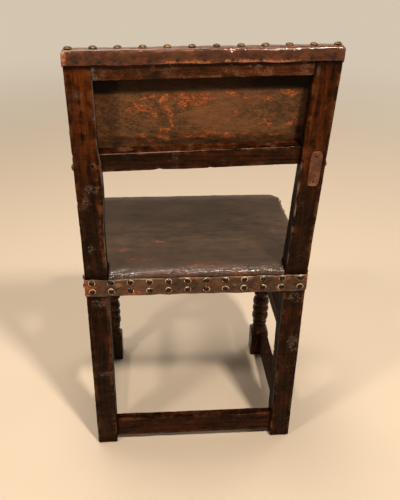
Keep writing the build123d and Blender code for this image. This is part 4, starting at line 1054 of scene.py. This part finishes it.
depth_top = (rear_y(hide_top) + out) - (front_y(hide_top) - out)
wide = rear_x + out - 1.2
corners = np.array([(wide, 0), (wide, depth_top), (-wide, depth_top), (-wide, 0)])
cap_steps = side_steps(corners, 3.0)
loop, normal = rounded_loop(corners, 4.0, cap_steps, 6)
on_front, on_rear = normal[:, 1] < -0.99, normal[:, 1] > 0.99
inset, _ = rounded_loop(inward(corners, round_top), 0.6, cap_steps, 6)
ridge_x = np.clip(inset[:, 0], depth_top / 2 - wide, wide - depth_top / 2)
flat = rings(inset, np.stack([ridge_x, np.full(len(loop), depth_top / 2)], -1), np.linspace(0, 1, 6))
arc = np.radians(np.linspace(15, 90, 7))[:, None]
falls = [np.arange(1.5, 18, 1.8), (18.0, 21.0, 24.0, 28.0), np.arange(even_fall, longest_fall, 3.0)]
falls = np.append(np.concatenate(falls), longest_fall)
x = loop[:, 0]
lowest = hide_top - hem_z - x * (top_slope - hem_slope)
fall = falls[:, None] * np.ones(len(loop))
stretch = (lowest - round_top - even_fall) / (longest_fall - even_fall)
fall = np.where((fall > even_fall) & on_front, even_fall + (fall - even_fall) * stretch, fall)
wave = 1.1 * ripple(points_of(x, 0, 0), 70, 191) - 1.4 * ease(-x, -40, 190)
fall = np.where((fall > 4) & (fall <= 18) & on_rear, 4 + (fall - 4) * (14 + wave) / 14, fall)
rounded = round_top * (1 - np.cos(arc)) * np.ones(len(loop))
drops = np.concatenate([np.zeros(flat.shape[:2]), rounded, round_top + fall])
arc_xy = inset + (loop - inset) * np.sin(arc)[..., None]
plan = np.concatenate([flat, arc_xy, np.broadcast_to(loop, (*fall.shape, 2))])
x, share = plan[..., 0], plan[..., 1] / depth_top
slump = 2.2 * np.clip(1 - share, 0, 1) ** 1.5 * np.exp(-drops / 12)
z = hide_top - x * top_slope - drops - slump
grid = points_of(x, front_edge(z) + share * (rear_edge(z) - front_edge(z)), z)
normals = np.cross(np.gradient(grid, axis=1), np.gradient(grid, axis=0))
normals /= np.linalg.norm(normals, axis=-1)[..., None] + 1e-9
normals *= np.sign((normals * points_of(*normal.T, drops < 3)).sum(-1))[..., None]
back_inset = 10
nail_columns = np.linspace(back_inset - rear_x, rear_x - back_inset, 12)
top_nails = [
    ((column, rear_edge(hide_top) - 15.5, hide_top - column * top_slope - 0.9), (0.012, -0.13, 0.99))
    for column in nail_columns
]
tack_x = rear_x * np.array((0.9, 0.74, 0.59, 0.39, 0.19, 0.0, -0.2, -0.4, -0.6, -0.77, -0.92))
tack_z = hide_top - 20.0 - tack_x * top_slope
fold_tacks = [((column, rear_edge(row), row), (0, 0.99, -0.14)) for column, row in zip(tack_x, tack_z)]
nails_foot, nails_rise = hem_z + 8.8, 207.0
front_nails_back = [
    (on_back(side * 221.0, nails_foot - side * 4.8 + (nails_rise + side * 2.2) * up, out), out_front)
    for side in (1, -1) for up in np.linspace(0, 1, 5)
]
front_nails_back += [
    (on_back(column, nails_foot - column * hem_slope, out), out_front) for column in nail_columns[1:-1]
]
press = dimples(grid, top_nails, 0.9, 9.0) + dimples(grid, fold_tacks, 0.7, 6.0)
press += dimples(grid, front_nails_back, 0.7, 9.0)
on_fold = on_rear & (drops > 5)
creases = (1 - np.abs(ripple(grid * (1, 1, 0.45), 34, 193))) ** 5
folds = 0.9 * ripple(grid * (1, 1, 0.6), 46, 194) + 0.3 * ripple(grid, 14, 195)
slant = np.sin((x + 1.7 * (z - 960)) * 2 * np.pi / 15) * bell(x, 175, 42)
moved = np.where(on_fold, 0.6 + 0.75 * folds - 1.1 * creases + 0.9 * slant, 0.45 * folds + 0.1)
in_opening = ease(180 - np.abs(x), 0, 26) * ease(z, 788, 812) * (1 - ease(z, 900, 926)) * on_front
belly = -in_opening * (4.0 + 0.8 * ripple(grid, 85, 196) + 0.35 * ripple(grid, 28, 197))
moved = np.where(on_front & (drops > 12), 0.12 * folds + 0.1, moved)
grid += (moved + belly - press)[..., None] * normals
hem_fall = np.where(on_front, 1e3, np.where(on_rear, 18.1, 21.1))
row_fall = np.append(np.zeros(len(grid) - 1 - len(falls)), falls)[:, None]
kept = row_fall <= np.minimum(hem_fall, np.roll(hem_fall, -1))
faces = ring_quads(np.arange(grid[..., 0].size).reshape(grid.shape[:2]))[kept]
x, y, z = np.moveaxis(grid, -1, 0)
strokes = (
    (131, 852, 110, 877, 5), (105, 880, 84, 884, 4), (112, 866, 88, 858, 8), (88, 854, 80, 848, 6),
    (72, 875, 62, 882, 6), (64, 868, 52, 848, 6), (54, 838, 50, 826, 3), (72, 819, 58, 819, 4),
    (44, 884, 12, 872, 9), (34, 868, 34, 890, 8), (14, 884, -8, 866, 8), (4, 888, -14, 878, 8),
    (104, 804, 88, 796, 5), (76, 803, 58, 799, 5), (28, 803, -10, 801, 5), (-8, 812, -24, 812, 6),
    (-10, 815, -60, 800, 4.5), (-70, 800, -82, 808, 4), (-58, 852, -66, 852, 3), (-74, 880, -82, 880, 3),
    (-44, 893, -58, 886, 5), (-106, 876, -120, 876, 5), (-138, 896, -158, 888, 7), (-98, 826, -104, 826, 4),
    (-110, 832, -122, 824, 6), (-158, 826, -168, 834, 5), (-126, 806, -138, 806, 4), (118, 790, 106, 784, 5),
)
rub_panel = np.full(z.shape, 0.12)
uneven = 1.6 * ripple(grid, 11, 199)
for x_one, z_one, x_two, z_two, half in strokes:
    run = np.array((x_two - x_one, z_two - z_one), float)
    reach = np.stack([x - x_one, z - z_one], -1)
    part = np.clip((reach @ run) / (run @ run), 0, 1)
    away = np.linalg.norm(reach - part[..., None] * run, axis=-1) + uneven
    rub_panel = np.maximum(rub_panel, 1.35 * bell(np.maximum(away, 0), 0, half))
turned_over = (drops > 2) & ~on_front
worn_run = ease(80 - x, 0, 12) * ease(x + 168, 0, 12) * (np.abs(x + 16) > 6)
rub_low = worn_run * ease(drops, 17, 25) * on_fold * ease(ripple(grid * (1, 0, 0), 40, 198), -1.2, 0.4)
rub_fold = 0.25 + 2.6 * rub_low + 1.1 * ease(x, 220, 228) * turned_over
near_edge = ease(np.abs(x), 205, 228) + ease(drops, lowest - 26, lowest - 6)
rub_front = 0.5 * near_edge + 0.5 * ease(ripple(grid, 70, 200), 0.2, 1.4)
# Painted shadow of the crest rail across the top of the flesh side, of the right stile down its right edge,
# and black in the top left corner; also a dark line along its foot, a dark upright band near its left edge,
# and dark stains.
crest_shadow_edge = 893 - 0.02 * x
stains_and_painted_shade = 0.45 * bell(z, 789, 6) + 0.78 * ease(z, crest_shadow_edge - 4, crest_shadow_edge + 5)
stains_and_painted_shade += 0.6 * ease(-x, 168, 184) + 0.4 * bell(x, 154, 9) * (1 - spot(x, z, 172, 797, 30, 16))
# Dark stains, and painted shadow in the top left corner and under the crest on the right.
for amount, *where in (
    (0.7, -137, 858, 7, 7), (0.9, -175, 812, 8, 10), (0.8, 88, 812, 10, 3), (1.5, 174, 909, 15, 19),
    (0.5, -140, 908, 50, 14),
):
    stains_and_painted_shade += amount * spot(x, z, *where)
seen_front = on_front & (drops > 12)
# Dirt round the tacks, and painted shade in the creases of the turned-over hide.
fold_dirt_and_shade = 0.8 * dimples(grid, fold_tacks, 0.8, 5.0) + 0.5 * on_fold * creases
marks = {
    "rub": np.where(seen_front, rub_front, rub_fold),
    "crackle": 0.48 * (1 - 0.5 * ease(drops, 7, 12)) * (drops < 45),
    "dirt_and_shade": np.clip(np.where(seen_front, dimples(grid, front_nails_back, 0.6, 9.5), fold_dirt_and_shade), 0, 1),
    # A painted highlight down the left end of the turned-over hide, where it wraps round the stile.
    "pale_and_highlight": 0.9 * ease(x, 223, 230) * turned_over * (drops < 19),
    "rub_behind": rub_panel,
    "dirt_and_shade_behind": np.clip(stains_and_painted_shade, 0, 1),
}
grain_side = old_hide(
    "back_hide_grain_side", (0.033, 0.0085, 0.0028), (0.122, 0.033, 0.0105), (0.52, 0.16, 0.055), 0.30, 0.4,
    (0.6, 0.6, 1), shine=0.26, lump=2.4,
)
flesh_side = old_hide(
    "back_hide_flesh_side", (0.050, 0.0205, 0.0072), (0.146, 0.058, 0.0195), (0.52, 0.135, 0.034), 0.60, 0.2,
    (0.55, 1, 1), strings=1.0, grain=0.5, soft=0.08, side="_behind",
)
back = put("back_leather_hide", grid, faces, marks, grain_side, "back_leather")
thicken(back, hide - 0.3, flesh_side)
carriers = ["crest_rail_oak", "lower_back_rail_oak"]

# ---- brass nails
# Cast brass nails with domed heads, each a little different. Their dark crowns and bright
# rims are a painted reflection, set by the height on the dome and broken by patchy tarnish.
# Those along the top of the back and on the stiles are dark bronze.
brass_finish, tree = new_finish("tarnished_brass")
tarnish = noise(own_place(tree), 150, 3, 0.6)
patina_and_painted_rim = step(minus(times(tarnish, 1.1), times(mark(tree, "rub"), 0.8)), 0.34, 0.52)
colour = mix(patina_and_painted_rim, (0.026, 0.013, 0.007), (0.78, 0.61, 0.41))
gloss = add(tree, "MapRange", Value=patina_and_painted_rim, To_Min=0.26, To_Max=0.36)
finish_off(colour, gloss, tarnish, 0.0003, Metallic=0.8)
bronze_finish, tree = new_finish("dark_bronze")
tarnish = noise(own_place(tree), 300, 4, 0.6)
colour = mix(step(tarnish, 0.42, 0.62), (0.045, 0.022, 0.009), (0.19, 0.105, 0.035))
finish_off(colour, 0.42, tarnish, 0.0003, Metallic=0.75)


def domes(node, slot, nails, radius, height, seed, finish, squareness=0.0, brim=0.03):
    """Heads of nails: for each, rings of a flattened half ball over a rim that is brim wide,
    as a share of the radius, and a flat underside, turned and shaped a little unevenly."""
    dice = np.random.default_rng(seed)
    places, ways = (np.array([nail[k] for nail in nails], float) for k in (0, 1))
    ways += dice.normal(scale=0.045, size=ways.shape)
    ways /= np.linalg.norm(ways, axis=1)[:, None]
    helper = np.where(np.abs(ways[:, 2:]) < 0.8, (0.0, 0.0, 1.0), (1.0, 0.0, 0.0))
    first = np.cross(helper, ways)
    first /= np.linalg.norm(first, axis=1)[:, None]
    second = np.cross(ways, first)
    angle = np.radians(np.arange(0, 360, 18))
    turn = np.radians((0, 14, 30, 46, 62, 76, 86))
    dome = 1 - brim
    out = np.append(dome * np.sin(turn), (dome + 0.02, 0.97, 1.02, 0.98, 0.0))[:, None]
    rise = np.cos(turn) ** (1.0 + squareness) * 0.88 + 0.12
    rise = np.append(rise, (0.12, 0.10, 0.03, -0.05, -0.05))[:, None]
    each = (len(nails), 1, 1)
    size, tall = radius * dice.uniform(0.94, 1.04, each), height * dice.uniform(0.86, 1.02, each)
    lobes = 1.0
    for waves, swing in ((2, 0.035), (3, 0.02)):
        lobes = lobes + swing * np.sin(waves * angle + dice.uniform(0, 6.28, each))
    rim = (size * out * lobes)[..., None]
    places, ways, first, second = (way[:, None, None] for way in (places, ways, first, second))
    heads = places + rim * (np.cos(angle)[:, None] * first + np.sin(angle)[:, None] * second)
    heads = heads + (tall * rise)[..., None] * ways
    heads += 0.12 * ripple(heads, 5, seed + 1)[..., None]
    rows, columns = heads.shape[1:3]
    starts = np.arange(len(nails))[:, None, None] * rows * columns
    faces = (disc_faces(rows, columns, closed=True) + starts).reshape(-1, 4)
    name = f"{node}_{slot.removeprefix('nail_')}"
    # The mark rub holds the height on the dome, which the brass finish turns into the painted dark crown and
    # bright rim.
    put(name, heads, faces, {"rub": np.maximum(rise, 0)}, finish, node)


stile_nail_z = 747.3
stile_nail_y = rear_y(stile_nail_z) - 12.0
stile_nails = [((side * rear_x, stile_nail_y, stile_nail_z), (side, 0, 0)) for side in (1, -1)]
for node, nails, radius, tall, seed, finish, brim in (
    ("rear_band_nails", rear_nails, 7.3, 4.8, 201, brass_finish, 0.17),
    ("side_band_nails", side_nails, 7.3, 4.8, 203, brass_finish, 0.17),
    ("front_band_nails", front_nails, 7.3, 4.8, 205, brass_finish, 0.17),
    ("top_edge_nails", top_nails, 6.8, 3.8, 207, bronze_finish, 0.03),
    ("back_front_nails", front_nails_back, 6.8, 4.5, 209, brass_finish, 0.17),
    ("stile_side_nails", stile_nails, 6.6, 4.6, 211, bronze_finish, 0.03),
):
    domes(node, "nail_brass", nails, radius, tall, seed, finish, brim=brim)

# ---- iron tacks
# Small hand-cut iron tacks with flat heads, dull and nearly black. They hold the turned-over
# edge of the back hide, and the ends of the webs.
iron_finish, tree = new_finish("dull_iron")
rust = noise(own_place(tree), 500, 4, 0.6)
colour = mix(step(rust, 0.45, 0.65), (0.022, 0.018, 0.016), (0.060, 0.028, 0.014))
finish_off(colour, 0.55, rust, 0.0005, Metallic=0.75)
across_web = (-14, 0, 14)
web_tacks = [
    ((side * (side_x(y) - rail_thick + 8), y + shift, seat_wood + 2.2), (0, 0, 1))
    for side in (1, -1) for y in cross_y for shift in across_web
]
web_tacks += [
    ((x + shift, y, seat_wood + 2.6), (0, 0, 1))
    for x in long_x for y in (-18.8, -328.0) for shift in across_web
]
for node, tacks, seed in (("fold_tacks", fold_tacks, 221), ("webbing_tacks", web_tacks, 223)):
    domes(node, "iron", tacks, 2.5, 1.0, seed, iron_finish, 0.4)

# ---- mending plate
# A strip of copper-brown sheet metal with rounded ends, nailed over a crack in the right
# stile. It is a little uneven, a painted shadow crescent stands for a dent, and its lower end
# is worn bright.
plate_low, plate_x = stile_nail_z - 44.0, -(rear_x - 23.0 + 3.5)
plate_mid_z = plate_low + 38.5
angle = np.radians(np.linspace(0, 360, 72, endpoint=False))
outline = np.stack([np.cos(angle), np.sin(angle)], -1)
outline = np.sign(outline) * np.abs(outline) ** (0.512, 0.32) * (11.0, 38.3)
shares = np.array((0.0, 0.35, 0.7, 0.88, 0.96, 1.0, 1.0, 0.9, 0.0))[:, None, None]
rises = np.array((1.0, 1.0, 1.0, 1.0, 0.9, 0.62, 0.1, 0.0, 0.0))[:, None, None]
moved_in = outline - np.sign(outline) * np.minimum(np.abs(outline), 10 * (1 - shares))
flat = np.where(shares > 0.5, moved_in, outline * shares)
plate_lean = np.arctan(rear_tan)
up_plate = np.array((0, np.sin(plate_lean), np.cos(plate_lean)))
out_plate = np.array((0, np.cos(plate_lean), -np.sin(plate_lean)))
grid = (plate_x, rear_y(plate_mid_z), plate_mid_z) + flat[..., :1] * (-1, 0, 0) + flat[..., 1:] * up_plate
grid += rises * 2.4 * out_plate
grid += 0.22 * ripple(grid, 22, 231)[..., None] * (rises > 0.5) * out_plate
copper, tree = new_finish("copper_brown_plate")
place = own_place(tree)
colour = mix(step(noise(place, 70, 5, 0.65), 0.38, 0.66), (0.085, 0.028, 0.013), (0.19, 0.070, 0.030))
colour = mix(step(mark(tree, "rub"), 0.3, 0.9, 0.8), colour, (0.30, 0.125, 0.040))
colour = mix(mark(tree, "dirt_and_shade"), colour, (0.02, 0.009, 0.006))
finish_off(colour, 0.46, noise(place, 420, 3, 0.6), 0.0004, Metallic=0.45)
x, y, z = np.moveaxis(grid, -1, 0)
dent_z, dent_radius = 764, 6.5
# Painted shadow of a dent, a crescent in its lower half; the shape itself has no dent.
dent_shadow = bell(np.hypot(x - plate_x, z - dent_z), dent_radius, 1.0) * (z < dent_z)
marks = {"rub": 1 - ease(z, 704, 716), "dirt_and_shade": 0.8 * dent_shadow}
faces = disc_faces(*grid.shape[:2], closed=True)
put("mending_plate_metal", grid, faces, marks, copper, "mending_plate")
plate_tacks = [((plate_x, rear_y(z) + 2.45, z), out_plate) for z in (plate_low + 11, plate_low + 66)]
domes("mending_plate_nails", "iron", plate_tacks, 2.3, 1.1, 233, iron_finish, 0.2)
